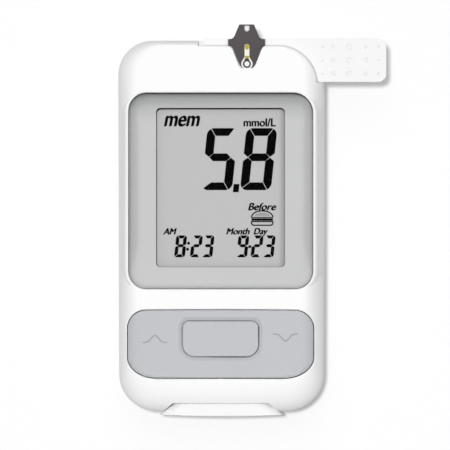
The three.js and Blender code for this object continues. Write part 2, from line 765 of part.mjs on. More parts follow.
// The rear housing: a shell with the battery bay, the cover's seat and rails, posts and a tongue.
function rearHousing() {
  const shell = outer.subtract(hollow).intersect(slab(-OVERRUN, BODY.partingZ));
  const tongue = bodySolid(BODY.wall - BODY.tongueThick).subtract(hollow)
    .intersect(slab(BODY.partingZ - OVERRUN, BODY.partingZ + BODY.tongueHigh));
  const low = BODY.wall / 2;
  const seatZ = COVER.thick + BODY.partingGap * 2;
  const railOut = coverPlate.right + COVER.railWide + COVER.gap;
  const seat = block(-railOut - BAY.wall, railOut + BAY.wall, BODY.bottomY, coverPlate.top + COVER.tongueLong
    + COVER.gap + BAY.wall, low, seatZ + BAY.wall);
  const walls = block(-bay.half - BAY.wall, bay.half + BAY.wall,
    bay.bottom - BAY.wall, bay.top + BAY.wall, low, UNDER_BOARD_Z);
  const posts = screwPlaces.map(([, x, y]) => post(x, y, SCREW.postRadius, low, JOINT_Z));
  const rests = [-1, 1].flatMap((side) => BOARD.restDrops.map((drop) => post(
    side * (HALF_WIDTH - BOARD.restSide), BODY.topY - drop, BOARD.restRadius, low, UNDER_BOARD_Z)));
  const ribs = [-1, 1].map((side) => side * (bay.half + BOARD.ribGap)).map((x) =>
    block(x - BAY.wall / 2, x + BAY.wall / 2, bay.top, BODY.topY, low, BODY.roundRearHeight));
  const liner = prism(lipShape(COVER.gap + COVER.linerThick, BEYOND_Y), low, BODY.partingZ);
  const inside = joined(seat, walls, ...posts, ...rests, ...ribs, liner).intersect(carcass);

  const bayHole = block(-bay.half, bay.half, bay.bottom, bay.top, -OVERRUN, BODY.depth);
  const openPlate = { ...coverPlate, bottom: 2 * BODY.bottomY };
  const coverSeat = prism(panelShape(openPlate, COVER.gap), -OVERRUN, seatZ);
  const railZ = COVER.thick - COVER.railThick - BODY.partingGap * 2;
  const rails = block(-railOut, railOut, 2 * BODY.bottomY, coverPlate.top - COVER.railInset + COVER.gap,
    railZ, seatZ);
  const railRelief = block(-railOut, railOut, 2 * BODY.bottomY, BODY.bottomY + BODY.roundRear,
    -OVERRUN, seatZ);
  const catchPocket = block(-COVER.tongueHalf - COVER.gap, COVER.tongueHalf + COVER.gap, 0,
    coverPlate.top + COVER.tongueLong + COVER.gap, railZ, seatZ);
  const lipCut = prism(lipShape(COVER.gap, BEYOND_Y), -OVERRUN, FRONT_Z);
  const heads = screwPlaces.map(([, x, y]) =>
    post(x, y, SCREW.headRadius + SCREW.holeGap, -OVERRUN, SCREW.headZ + SCREW.headHigh + BOARD.seat));
  const shanks = screwPlaces.map(([, x, y]) =>
    post(x, y, SCREW.shankRadius + SCREW.holeGap, -OVERRUN, BODY.depth));
  return joined(shell, tongue, inside).subtract(joined(
    bayHole, coverSeat, rails, railRelief, catchPocket, lipCut, ...heads, ...shanks,
  ));
}

// The battery cover: a plate with rails and a catch tongue, and a thumb lip that wraps the bottom end.
function batteryCover() {
  const plate = prism(panelShape(coverPlate), 0, COVER.thick);
  const rail = coverPlate.right + COVER.railWide;
  const rails = block(-rail, rail, BODY.bottomY + COVER.railEnd, coverPlate.top - COVER.railInset,
    COVER.thick - COVER.railThick, COVER.thick);
  const tongue = block(-COVER.tongueHalf, COVER.tongueHalf, 0, coverPlate.top + COVER.tongueLong,
    COVER.thick - COVER.railThick, COVER.thick);
  const rings = [ringOf(lipShape(0, BEYOND_Y), -OVERRUN)];
  for (let i = 0; i <= ROUND_STEPS; i += 1) {
    const angle = (i / ROUND_STEPS) * QUARTER;
    rings.push(ringOf(
      lipShape(-COVER.lipBulge * (1 - Math.cos(angle)), BEYOND_Y),
      LIP_TOP_Z - COVER.lipBulge + COVER.lipBulge * Math.sin(angle),
    ));
  }
  const profile = new THREE.Shape();
  profile.moveTo(lip.topY + OVERRUN, -OVERRUN);
  profile.lineTo(lip.topY + OVERRUN, LIP_TOP_Z);
  profile.lineTo(lip.topY - COVER.lipEdge / 2, LIP_TOP_Z);
  profile.lineTo(lip.bottomY + COVER.lipEdge, LIP_FAR_Z);
  profile.absarc(lip.bottomY + COVER.lipEdge, LIP_FAR_Z - COVER.lipEdge, COVER.lipEdge,
    QUARTER, Math.PI);
  profile.lineTo(lip.bottomY, -OVERRUN);
  const column = loft(rings)
    .intersect(beam(profile, -BODY.width, BODY.width))
    .intersect(bodySolid(0, BODY.bottomY - lip.bottomY));
  const scoop = new THREE.Shape(lipShape(-COVER.lipWall, lip.bottomY + COVER.lipWall).getPoints()
    .map((p) => (p.y < lip.topY - COVER.lipWall ? p : new THREE.Vector2(p.x, p.y + OVERRUN * 2))));
  const inside = prism(scoop, COVER.thick, LIP_FAR_Z - COVER.lipWall);
  return joined(plate.intersect(outer), rails, tongue, column.subtract(inside));
}

// The display

// The grey panel round the display: its rim follows the body's rounding, its face is dished, and a
// thin lip holds the clear window from above.
function displayBezel() {
  const inset = (share, grow) => ({
    left: bezelPanel.left + DISPLAY.rim + DISPLAY.dishSide * share,
    right: bezelPanel.right - DISPLAY.rim - DISPLAY.dishSide * share,
    bottom: bezelPanel.bottom + DISPLAY.rim + DISPLAY.dishBottom * share,
    top: bezelPanel.top - DISPLAY.rim - DISPLAY.dishTop * share,
    topCorner: DISPLAY.corner + grow,
  });
  const rings = [];
  for (let i = 0; i <= DISH_STEPS; i += 1) {
    const angle = (i / DISH_STEPS) * QUARTER;
    const shape = panelShape(inset(1 - Math.sin(angle), 0));
    const rise = (BODY.depth - DISH_Z) * (1 - Math.cos(angle));
    rings.push(ringOf(shape, DISH_Z + rise));
  }
  const dish = loft(rings);
  const window = prism(panelShape(windowPanel), 0, FRONT_Z);
  const pocket = prism(panelShape(windowPanel, DISPLAY.paneMargin + BOARD.seat), 0, LIP_UNDER_Z);
  return prism(panelShape(bezelPanel), BEZEL_UNDER_Z, FRONT_Z)
    .intersect(bodySolid(DISPLAY.rimDrop))
    .subtract(joined(dish, window, pocket));
}

const displayWindow = () =>
  prism(panelShape(windowPanel, DISPLAY.paneMargin), PANE_TOP_Z - DISPLAY.paneThick, PANE_TOP_Z);
const lcdGlass = () => prism(panelShape(windowPanel, DISPLAY.glassMargin), GLASS_LOW_Z, GLASS_TOP_Z);

// The frame that carries the glass on the board, open where the glass and its connectors stand.
function lcdHolder() {
  const grow = DISPLAY.glassMargin + DISPLAY.glassGap;
  return prism(panelShape(windowPanel, grow + DISPLAY.holderWall), ON_BOARD_Z, LEDGE_LOW_Z - BOARD.seat)
    .subtract(prism(panelShape(windowPanel, grow), 0, FRONT_Z));
}

function zebraStrip(edgeY, inwards) {
  const [low, high] = [edgeY, edgeY + inwards * DISPLAY.zebraWide].sort((a, b) => a - b);
  return block(windowPanel.left, windowPanel.right, low, high,
    ON_BOARD_Z, GLASS_LOW_Z - BOARD.seat);
}

// The keys

// The rocker: a crowned cap with a skirt, a hole for the centre button inside a soft groove, two
// plungers under its ends and two pins that it tilts on.
function rockerKey() {
  const top = bodySolid(-KEYS.proud);
  const cap = prism(panelShape(keyPanel), BODY.depth - KEYS.skirtDrop, FRONT_Z).intersect(top);
  const under = prism(panelShape(keyPanel, -KEYS.skirtThick), 0, CAP_UNDER_Z);
  const topZ = BODY.depth + KEYS.proud;
  const grooveRing = (grow, z) => ringOf(panelShape(buttonPanel, grow), z);
  const groove = loft([
    grooveRing(KEYS.gap, topZ - KEYS.grooveDeep),
    grooveRing(KEYS.grooveWide, topZ),
    grooveRing(KEYS.grooveWide, topZ + OVERRUN),
  ]);
  const buttonHole = prism(panelShape(buttonPanel, KEYS.gap), 0, FRONT_Z);
  const lugLow = PIN_Z - KEYS.pinRadius;
  const lugHigh = CAP_UNDER_Z + KEYS.capThick / 2;
  const inner = keyPanel.top - KEYS.lugThick;
  const outerY = keyPanel.bottom + KEYS.lugThick;
  const lugs = [
    block(-KEYS.lugHalfWidth, KEYS.lugHalfWidth, inner, keyPanel.top, lugLow, lugHigh),
    block(-KEYS.lugHalfWidth, KEYS.lugHalfWidth, keyPanel.bottom, outerY, lugLow, lugHigh),
  ];
  const pins = [
    pin(0, PIN_Z, KEYS.pinRadius, inner, keyPanel.top + KEYS.pinReach),
    pin(0, PIN_Z, KEYS.pinRadius, keyPanel.bottom - KEYS.pinReach, outerY),
  ];
  const plungers = [-1, 1].map((side) =>
    post(side * ARROW_X, ARROW_Y, KEYS.plungerRadius, PLUNGER_Z, lugHigh));
  return joined(cap.subtract(joined(under, groove, buttonHole)), ...lugs, ...pins, ...plungers);
}

// The centre button: a flat cap with a flange that the rocker holds in, and a plunger.
function centreButton() {
  const flangeTop = CAP_UNDER_Z - KEYS.flangeGap;
  const cap = prism(panelShape(buttonPanel), flangeTop - KEYS.flangeThick, FRONT_Z)
    .intersect(bodySolid(-KEYS.proud));
  const flange = prism(panelShape(buttonPanel, KEYS.flangeMargin), flangeTop - KEYS.flangeThick, flangeTop);
  const plunger = post(0, ARROW_Y, KEYS.plungerRadius, PLUNGER_Z, flangeTop);
  return joined(cap, flange, plunger);
}

// The silicone sheet under the keys, with a foot all round and a bump over each dome.
function keypadSheet() {
  const pad = {
    left: keyPanel.left + KEYPAD.side, right: keyPanel.right - KEYPAD.side,
    bottom: keyPanel.bottom + KEYPAD.edge, top: keyPanel.top - KEYPAD.edge, topCorner: KEYPAD.corner,
  };
  const bumps = [-1, 0, 1].map((side) =>
    post(side * ARROW_X, ARROW_Y, KEYPAD.bumpRadius, SHEET_LOW_Z, BUMP_TOP_Z));
  return prism(panelShape(pad), ON_BOARD_Z, SHEET_TOP_Z)
    .subtract(prism(panelShape(pad, -KEYPAD.wall), 0, SHEET_LOW_Z))
    .add(joined(...bumps));
}

const domeSwitch = (x) => turned([
  [0, ON_BOARD_Z],
  [KEYPAD.domeRadius, ON_BOARD_Z],
  ...KEYPAD.domeShares.map(([across, up]) =>
    [KEYPAD.domeRadius * across, ON_BOARD_Z + KEYPAD.domeHigh * up]),
  [0, DOME_TOP_Z],
], x, ARROW_Y);

// The board and what it carries

function mainBoard() {
  const outline = new THREE.Shape(bodyOutline(
    BOARD.inset, BOARD.inset, BOARD.inset, BODY.cornerTop - BOARD.inset, BODY.cornerBottom - BOARD.inset,
  ));
  const notches = screwPlaces.map(([, x, y]) =>
    post(x, y, SCREW.bossRadius + BOARD.notchGap, 0, FRONT_Z));
  const end = block(-BODY.width, BODY.width, 2 * BODY.bottomY, BODY.bottomY + BOARD.endMargin, 0, FRONT_Z);
  return prism(outline, BOARD_LOW_Z, BOARD_TOP_Z).subtract(joined(end, ...notches));
}

// A chip hangs under the board, with its edges chamfered on the free side.
function underBoard({ x, rise, halfWide, halfHigh, thick, chamfer }) {
  const y = bay.top + rise;
  const box = { left: x - halfWide, right: x + halfWide, bottom: y - halfHigh, top: y + halfHigh };
  const ring = (grow, z) => ringOf(panelShape({ ...box, topCorner: chamfer }, grow), z, CHIP_STEPS);
  return loft([
    ring(-chamfer / 2, UNDER_BOARD_Z - thick),
    ring(0, UNDER_BOARD_Z - thick + chamfer / 2),
    ring(0, UNDER_BOARD_Z),
  ]);
}

const buzzer = () => turned([
  [0, UNDER_BOARD_Z],
  [BUZZER.radius, UNDER_BOARD_Z],
  [BUZZER.radius, UNDER_BOARD_Z - BUZZER.high],
  [BUZZER.holeRadius, UNDER_BOARD_Z - BUZZER.high],
  [BUZZER.holeRadius, UNDER_BOARD_Z - BUZZER.high + BUZZER.holeDeep],
  [0, UNDER_BOARD_Z - BUZZER.high + BUZZER.holeDeep],
], BUZZER.x, bay.top + BUZZER.rise);

// The strip connector, and the sprung leaves that stand in its grooves.
const contactXs = [-1, 0, 1].map((side) =>
  (connector.left + connector.right) / 2 + side * CONNECTOR.pitch);
function stripConnector() {
  const grooves = contactXs.map((x) => block(
    x - CONNECTOR.leafHalf - BOARD.seat, x + CONNECTOR.leafHalf + BOARD.seat,
    connector.bottom + CONNECTOR.wall, connector.top - CONNECTOR.wall,
    ON_BOARD_Z + CONNECTOR.floorThick, FRONT_Z,
  ));
  return block(connector.left, connector.right, connector.bottom, connector.top,
    ON_BOARD_Z, CONNECTOR_TOP_Z).subtract(joined(...grooves));
}

// A leaf of even thickness bent along points given in Y and Z.
function bentLeaf(points, thick, left, right) {
  const sides = [1, -1].map((side) => points.map(([y, z], i) => {
    const [y0, z0] = points[Math.max(i - 1, 0)];
    const [y1, z1] = points[Math.min(i + 1, points.length - 1)];
    const long = Math.hypot(y1 - y0, z1 - z0);
    const shift = (side * thick) / 2 / long;
    return new THREE.Vector2(y - (z1 - z0) * shift, z + (y1 - y0) * shift);
  }));
  return beam(new THREE.Shape([...sides[0], ...sides[1].reverse()]), left, right);
}

function contactLeaf(x) {
  const low = ON_BOARD_Z + CONNECTOR.floorThick + BOARD.seat + CONNECTOR.leafThick / 2;
  const high = STRIP_LOW_Z - BOARD.seat - CONNECTOR.leafThick;
  const from = connector.bottom + CONNECTOR.wall + PORT.floorGap;
  const to = connector.top - CONNECTOR.wall - PORT.floorGap;
  const points = CONNECTOR.leafShares.map(([along, up]) => [mix(from, to, along), mix(low, high, up)]);
  return bentLeaf(points, CONNECTOR.leafThick, x - CONNECTOR.leafHalf, x + CONNECTOR.leafHalf);
}

// The batteries, their springs and contact plates

// A cell lies along Y. Its nub points up the body where way is 1, and down it where way is -1.
function cell(x, way) {
  const tip = way > 0 ? bay.top - PLATE_IN - BAY.cellGap : bay.bottom + PLATE_IN + BAY.cellGap;
  const profile = [
    [0, -CELL.length],
    [CELL_RADIUS - CELL.edge, -CELL.length],
    [CELL_RADIUS, CELL.edge - CELL.length],
    [CELL_RADIUS, -CELL.nubHigh - CELL.edge],
    [CELL_RADIUS - CELL.edge, -CELL.nubHigh],
    [CELL.nubRadius, -CELL.nubHigh],
    [CELL.nubRadius, 0],
    [0, 0],
  ];
  const geometry = new THREE.LatheGeometry(profile.map(([r, y]) => new THREE.Vector2(r, y)), ROUND_SIDES);
  geometry.scale(1, way, 1);
  geometry.translate(x, tip, CELL_Z);
  return solid(geometry);
}

// A tapered coil along Y, as rings of SPRING_SIDES points square to its wire.
function coil(x, from, to) {
  const steps = SPRING_STEPS * SPRING_CURLS;
  const wire = BAY.wireRadius;
  const way = Math.sign(to - from);
  const [start, end] = [from + way * (BAY.plateGap + wire), to - way * (BAY.plateGap + wire)];
  const centre = (i) => {
    const share = i / steps;
    const angle = share * SPRING_CURLS * 4 * QUARTER;
    const radius = mix(BAY.springRadius, BAY.springTip, share);
    return new THREE.Vector3(
      x + radius * Math.cos(angle), mix(start, end, share), CELL_Z + radius * Math.sin(angle));
  };
  const centres = Array.from({ length: steps + 1 }, (_, i) => centre(i));
  let least = Infinity;
  centres.forEach((p, i) => centres.forEach((q, j) => {
    if (j - i > SPRING_STEPS / 2) least = Math.min(least, p.distanceTo(q) - 2 * wire);
  }));
  console.log('battery spring, least gap between curls', least.toFixed(2), 'mm');
  const position = [];
  centres.forEach((p, i) => {
    const along = centres[Math.min(i + 1, steps)].clone().sub(centres[Math.max(i - 1, 0)]).normalize();
    const out = new THREE.Vector3(p.x - x, 0, p.z - CELL_Z).normalize();
    out.addScaledVector(along, -out.dot(along)).normalize();
    const side = new THREE.Vector3().crossVectors(along, out);
    for (let k = 0; k < SPRING_SIDES; k += 1) {
      const turn = (k / SPRING_SIDES) * 4 * QUARTER;
      const point = p.clone()
        .addScaledVector(out, wire * Math.cos(turn))
        .addScaledVector(side, wire * Math.sin(turn));
      position.push(point.x, point.y, point.z);
    }
  });
  const index = [];
  for (let i = 0; i < steps; i += 1) {
    for (let k = 0; k < SPRING_SIDES; k += 1) {
      const here = i * SPRING_SIDES + k;
      const next = i * SPRING_SIDES + ((k + 1) % SPRING_SIDES);
      index.push(here, next, next + SPRING_SIDES, here, next + SPRING_SIDES, here + SPRING_SIDES);
    }
  }
  for (let k = 1; k + 1 < SPRING_SIDES; k += 1) {
    const last = steps * SPRING_SIDES;
    index.push(0, k + 1, k, last, last + k, last + k + 1);
  }
  const geometry = new THREE.BufferGeometry();
  geometry.setAttribute('position', new THREE.Float32BufferAttribute(position, 3));
  geometry.setIndex(index);
  return solid(geometry);
}

// A contact plate against one end wall of the bay, with solder tabs up to the board.
function contactPlate(xs, near, tabs) {
  const face = near > 0 ? bay.top - BAY.plateGap - BAY.plateThick : bay.bottom + BAY.plateGap;
  const halfHigh = CELL_RADIUS - BAY.plateEnd;
  const halfWide = CELL_RADIUS - BAY.plateSide;
  const plate = block(Math.min(...xs) - halfWide, Math.max(...xs) + halfWide,
    face, face + BAY.plateThick, CELL_Z - halfHigh, CELL_Z + halfHigh);
  return joined(plate, ...tabs.map((x) => block(
    x - BAY.tabHalf, x + BAY.tabHalf, face, face + BAY.plateThick, CELL_Z, UNDER_BOARD_Z)));
}

// A pan head screw, its head towards the back.
const screw = (x, y) => turned([
  [0, SCREW.headZ],
  [SCREW.headRadius - SCREW.headEdge, SCREW.headZ],
  [SCREW.headRadius, SCREW.headZ + SCREW.headEdge],
  [SCREW.headRadius, SCREW.headZ + SCREW.headHigh],
  [SCREW.shankRadius, SCREW.headZ + SCREW.headHigh],
  [SCREW.shankRadius, SCREW_TIP_Z - SCREW.tipTaper],
  [SCREW.shankRadius / 2, SCREW_TIP_Z],
  [0, SCREW_TIP_Z],
], x, y);

// The test strip

function stripBase() {
  const shape = new THREE.Shape();
  const { left, right, bottom, top } = strip;
  const { corner, leftCorner } = STRIP;
  shape.moveTo(left + leftCorner, bottom);
  shape.lineTo(right - corner, bottom);
  shape.absarc(right - corner, bottom + corner, corner, 3 * QUARTER, 4 * QUARTER);
  shape.lineTo(right, top - corner);
  shape.absarc(right - corner, top - corner, corner, 0, QUARTER);
  shape.lineTo(left + leftCorner, top);
  shape.absarc(left + leftCorner, top - leftCorner, leftCorner, QUARTER, 2 * QUARTER);
  shape.lineTo(left, bottom + leftCorner);
  shape.absarc(left + leftCorner, bottom + leftCorner, leftCorner, 2 * QUARTER, 3 * QUARTER);
  return prism(shape, STRIP_LOW_Z, STRIP_TOP_Z)
    .add(prism(labelShape(-STRIP.tabInset), STRIP_LOW_Z, STRIP_TOP_Z));
}

// The sample channel in plan: a round ended slot that runs into a ring.
function channelShape(grow) {
  const half = STRIP.channelHalf + grow;
  const ring = STRIP.ringRadius + grow;
  const top = LABEL_Y - STRIP.channelRise + grow;
  const lean = Math.asin(half / ring);
  const shape = new THREE.Shape();
  shape.absarc(STRIP.labelX, RING_Y, ring, QUARTER + lean, 5 * QUARTER - lean);
  shape.absarc(STRIP.labelX, top - half, half, 0, Math.PI);
  shape.closePath();
  return shape;
}

function stripLabel() {
  const top = LABEL_Y + STRIP.labelTopReach - STRIP.windowTopGap;
  const half = STRIP.windowHalf;
  const window = panelShape({
    left: STRIP.labelX - half, right: STRIP.labelX + half,
    bottom: top - STRIP.windowHigh, top, topCorner: STRIP.labelTopCorner / 2, wide: half,
  });
  return prism(labelShape(0), FILM_Z, LABEL_TOP_Z)
    .subtract(joined(prism(window, 0, FRONT_Z), prism(channelShape(0), 0, FRONT_Z)));
}

const stripChannel = () => prism(channelShape(-STRIP.filmGap), FILM_Z, FILM_Z + STRIP.channelThick);
function stripElectrode() {
  const low = FILM_Z + STRIP.channelThick + STRIP.filmGap / 2;
  const shape = new THREE.Shape();
  shape.absellipse(STRIP.labelX, LABEL_Y - STRIP.channelRise - STRIP.electrodeDrop,
    STRIP.electrodeHalfWide, STRIP.electrodeHalfHigh, 0, 4 * QUARTER);
  return prism(shape, low, low + STRIP.electrodeThick);
}

// The assembly

add('front_housing', frontHousing(), FINISH.white);
add('rear_housing', rearHousing(), FINISH.white);
add('battery_cover', batteryCover(), FINISH.white);
add('display_bezel', displayBezel(), FINISH.bezel);
add('display_window', displayWindow(), FINISH.clear);
add('lcd_glass', lcdGlass(), FINISH.lcd);
add('lcd_holder', lcdHolder(), FINISH.holder);
add('zebra_strip_top', zebraStrip(windowPanel.top + DISPLAY.glassMargin, -1), FINISH.black);
add('zebra_strip_bottom', zebraStrip(windowPanel.bottom - DISPLAY.glassMargin, 1), FINISH.black);
add('rocker_key', rockerKey(), FINISH.key);
add('centre_button', centreButton(), FINISH.key);
add('keypad_sheet', keypadSheet(), FINISH.silicone);
add('dome_left', domeSwitch(-ARROW_X), FINISH.metal);
add('dome_centre', domeSwitch(0), FINISH.metal);
add('dome_right', domeSwitch(ARROW_X), FINISH.metal);
add('main_board', mainBoard(), FINISH.board);
add('microcontroller', underBoard(MICROCONTROLLER), FINISH.chip);
add('radio_module', underBoard(RADIO), FINISH.metal);
add('quartz_crystal', underBoard(CRYSTAL), FINISH.metal);
add('buzzer', buzzer(), FINISH.black);
add('strip_connector', stripConnector(), FINISH.black);
contactXs.forEach((x, i) => add(`connector_contact_${i + 1}`, contactLeaf(x), FINISH.gold));

const flatEnd = CELL.length + PLATE_IN + BAY.cellGap;
add('battery_left', cell(-CELL_X, 1), FINISH.cell);
add('battery_right', cell(CELL_X, -1), FINISH.cell);
add('battery_spring_left', coil(-CELL_X, bay.bottom + PLATE_IN, bay.top - flatEnd), FINISH.metal);
add('battery_spring_right', coil(CELL_X, bay.top - PLATE_IN, bay.bottom + flatEnd), FINISH.metal);
add('battery_link_plate', contactPlate([-CELL_X, CELL_X], 1, []), FINISH.metal);
add('battery_minus_plate', contactPlate([-CELL_X], -1, [-CELL_X]), FINISH.metal);
add('battery_plus_plate', contactPlate([CELL_X], -1, [CELL_X]), FINISH.metal);
screwPlaces.forEach(([place, x, y]) => add(`screw_${place}`, screw(x, y), FINISH.metal));
add('test_strip', stripBase(), FINISH.strip);
add('strip_channel', stripChannel(), FINISH.cream);
add('strip_electrode', stripElectrode(), FINISH.gold);
add('strip_label', stripLabel(), FINISH.label);

export default meter;
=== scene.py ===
# %% [markdown]
# # A blood glucose meter with a test strip in its port
# This lesson dresses a finished construction model. The frame below holds every real piece at its
# real size, and knows which pieces move. Blender adds what the eye sees: smooth mouldings,
# rounded edges, the display's digits and the finish of every surface. Each code cell is short and
# prints what it made, so it can be run and checked one by one.

import json
import math
from types import SimpleNamespace as Sizes

import bmesh
import bpy
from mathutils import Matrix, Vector
from mathutils.bvhtree import BVHTree

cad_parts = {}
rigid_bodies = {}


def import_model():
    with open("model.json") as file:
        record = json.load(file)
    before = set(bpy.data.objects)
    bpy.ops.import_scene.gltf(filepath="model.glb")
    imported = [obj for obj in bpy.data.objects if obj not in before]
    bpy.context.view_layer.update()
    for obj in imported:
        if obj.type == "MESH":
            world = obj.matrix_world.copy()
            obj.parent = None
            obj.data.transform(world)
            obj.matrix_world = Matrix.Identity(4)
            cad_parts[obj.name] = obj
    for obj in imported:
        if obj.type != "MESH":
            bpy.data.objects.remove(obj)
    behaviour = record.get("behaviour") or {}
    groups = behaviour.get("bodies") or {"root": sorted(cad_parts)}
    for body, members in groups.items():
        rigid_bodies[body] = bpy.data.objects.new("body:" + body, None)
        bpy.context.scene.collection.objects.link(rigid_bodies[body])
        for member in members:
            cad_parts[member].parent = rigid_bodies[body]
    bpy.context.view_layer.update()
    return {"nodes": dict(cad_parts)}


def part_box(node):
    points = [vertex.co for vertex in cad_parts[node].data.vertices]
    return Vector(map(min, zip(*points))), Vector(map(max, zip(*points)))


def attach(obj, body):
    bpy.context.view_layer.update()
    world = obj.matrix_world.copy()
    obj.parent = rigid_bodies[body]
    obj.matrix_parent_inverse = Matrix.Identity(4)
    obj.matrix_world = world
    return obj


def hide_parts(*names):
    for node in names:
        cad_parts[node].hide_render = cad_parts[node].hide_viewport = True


for start_object in list(bpy.data.objects):
    bpy.data.objects.remove(start_object)
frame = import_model()

# %% [markdown]
# Blender counts in metres, but a small product is easier to think about in millimetres. All sizes
# below are millimetres, and one factor turns them into metres where a mesh is made. Sizes that
# the frame already knows are read from it, so the looks always fit the construction.

# %% Read the driving sizes from the frame
MM = 0.001
QUARTER = math.pi / 2
LIP_PROUD = 0.9


def edges(node):
    low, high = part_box(node)
    return [(low[axis] / MM, high[axis] / MM) for axis in range(3)]


(_, half_width), (_, body_top), (parting_z, front_z) = edges("front_housing")
body_bottom = edges("battery_cover")[1][0] + LIP_PROUD
print(f"body {2 * half_width:.1f} wide, {body_top - body_bottom:.1f} long and {front_z:.1f} deep")

# %% [markdown]
# ## Tools for moulded shapes
# A moulded case is a stack of outlines: each outline is drawn a little further in than the one
# below it, and a skin joins them. Working with outlines keeps every edge an exact arc, which a
# subdivided box never gives. The finer the stack, the smoother the reflection that runs over it.

# %% Draw a skin over a stack of outlines
FINE = 14
BEYOND = 1.0


def place(name, data):
    """Puts a mesh, a text, a lamp or a camera into the scene as an object."""
    placed = bpy.data.objects.new(name, data)
    bpy.context.scene.collection.objects.link(placed)
    return placed


def to_object(name, corners, faces):
    mesh = bpy.data.meshes.new(name)
    mesh.from_pydata([(x * MM, y * MM, z * MM) for x, y, z in corners], [], faces)
    return place(name, mesh)


def loft(name, rings):
    """A closed skin over rings of equal count, given from the lowest to the highest."""
    count = len(rings[0])
    corners = [corner for ring in rings for corner in ring]
    faces = []
    for first in range(0, len(corners) - count, count):
        for i in range(count):
            here, after = first + i, first + (i + 1) % count
            faces.append((here, after, after + count, here + count))
    faces.append(tuple(reversed(range(count))))
    faces.append(tuple(range(len(corners) - count, len(corners))))
    return to_object(name, corners, faces)


def level(outline, z):
    return [(x, y, z) for x, y in outline]


def prism(name, outline, low, high):
    return loft(name, [level(outline, low), level(outline, high)])


def block(name, left, right, bottom, top, low, high):
    return prism(name, [(left, bottom), (right, bottom), (right, top), (left, top)], low, high)


# %% [markdown]
# Openings, slots and seats are cut with other solids, as a mould insert would shape them.
# Blender's Manifold solver is the quickest one for closed meshes, and it never leaves a hole in
# the skin.

# %% Cut, join and trim solids
def combine(target, operation, others):
    for other in others:
        step = target.modifiers.new("step", "BOOLEAN")
        step.solver = "MANIFOLD"
        step.operation = operation
        step.object = other
    bpy.context.view_layer.update()
    graph = bpy.context.evaluated_depsgraph_get()
    result = bpy.data.meshes.new_from_object(target.evaluated_get(graph))
    target.modifiers.clear()
    target.data = result
    for other in others:
        bpy.data.objects.remove(other)
    return target


def carve(target, *cutters):
    return combine(target, "DIFFERENCE", cutters)


def fuse(target, *others):
    return combine(target, "UNION", others)


def trim(target, *keepers):
    return combine(target, "INTERSECT", keepers)


# %% [markdown]
# Panels, windows and keys share one outline: round top corners, bottom corners that may be
# elliptical, and a top edge that may rise a little in its middle. Growing the outline by a
# negative amount gives the next, smaller ring of a rounded edge.

# %% Draw the outlines
SMALLEST_CORNER = 0.02


def quarter_steps(steps=FINE):
    """How far out and up a quarter circle has come, from its foot to its top, as shares."""
    angles = [i / steps * QUARTER for i in range(steps + 1)]
    return [(1 - math.cos(a), math.sin(a)) for a in angles]


def arc(x, y, across, up, start, turn=QUARTER, steps=FINE):
    angles = [start + turn * i / steps for i in range(steps + 1)]
    return [(x + across * math.cos(a), y + up * math.sin(a)) for a in angles]


def curve_between(start, pull, end):
    """The points of a curve that leaves start and reaches end, pulled towards a third point."""
    shares = [i / FINE for i in range(1, FINE + 1)]
    return [tuple((1 - t) ** 2 * a + 2 * t * (1 - t) * b + t * t * c
                  for a, b, c in zip(start, pull, end)) for t in shares]


def panel(left, right, bottom, top, corner, wide=None, high=None, crown=0.0, right_corner=None):
    wide = corner if wide is None else wide
    high = wide if high is None else high
    right_corner = corner if right_corner is None else right_corner
    return dict(left=left, right=right, bottom=bottom, top=top, corner=corner,
                right_corner=right_corner, wide=wide, high=high, crown=crown)


def panel_outline(sides, grow=0.0):
    left, right = sides["left"] - grow, sides["right"] + grow
    bottom, top = sides["bottom"] - grow, sides["top"] + grow - sides["crown"]
    corner, turn, wide, high = (max(sides[name] + grow, SMALLEST_CORNER)
                                for name in ("corner", "right_corner", "wide", "high"))
    points = arc(left + wide, bottom + high, wide, high, 2 * QUARTER)
    points += arc(right - wide, bottom + high, wide, high, 3 * QUARTER)
    points += arc(right - turn, top - turn, turn, turn, 0)
    for share in [i / FINE for i in range(1, FINE)]:
        across = right - turn + (left + corner - right + turn) * share
        points.append((across, top + 4 * sides["crown"] * share * (1 - share)))
    return points + arc(left + corner, top - corner, corner, corner, QUARTER)


def grown(sides, gap=0.0):
    """A panel's outline as a function of how much it grows beyond a gap."""
    return lambda grow: panel_outline(sides, gap + grow)


# %% [markdown]
# ## The moulded body
# Seen from the front the body is a tall rounded rectangle. Its sides round over towards the front
# on a soft curve 5 mm wide, its top edge rounds quickly, and its bottom end slopes away like a
# shoe. A power below 1 makes the curve of the sides flatter than a part of an ellipse. The same
# stack of outlines, drawn in by a distance, gives the inside of the wall or a lid's underside.

# %% Draw the body as a stack of outlines
BODY = Sizes(
    bottom_crown=0.5, bottom_taper=0.2, corner_top=8.3, corner_bottom=9.0,
    corner_top_front=6.8, corner_bottom_front=6.5, corner_rear=6.0,
    round_side=5.0, round_top=1.4, round_bottom=8.5, round_front=6.0,
    round_rear=4.5, round_rear_high=5.0, wall=1.8, side_curve=0.7,
)


def body_outline(side, top, bottom, corner_top, corner_bottom):
    half = half_width - side
    low_half = half - BODY.bottom_taper
    y_top = body_top - top
    y_edge = body_bottom + BODY.bottom_crown + bottom
    low_x, low_y = low_half - corner_bottom, y_edge + corner_bottom
    high_x, high_y = half - corner_top, y_top - corner_top
    points = arc(low_x, low_y, corner_bottom, corner_bottom, -QUARTER)
    points += arc(high_x, high_y, corner_top, corner_top, 0)
    points += arc(-high_x, high_y, corner_top, corner_top, QUARTER)
    points += arc(-low_x, low_y, corner_bottom, corner_bottom, 2 * QUARTER)
    for across in [2 * i / FINE - 1 for i in range(1, FINE)]:
        points.append((across * low_x, y_edge - BODY.bottom_crown * (1 - across * across)))
    return points


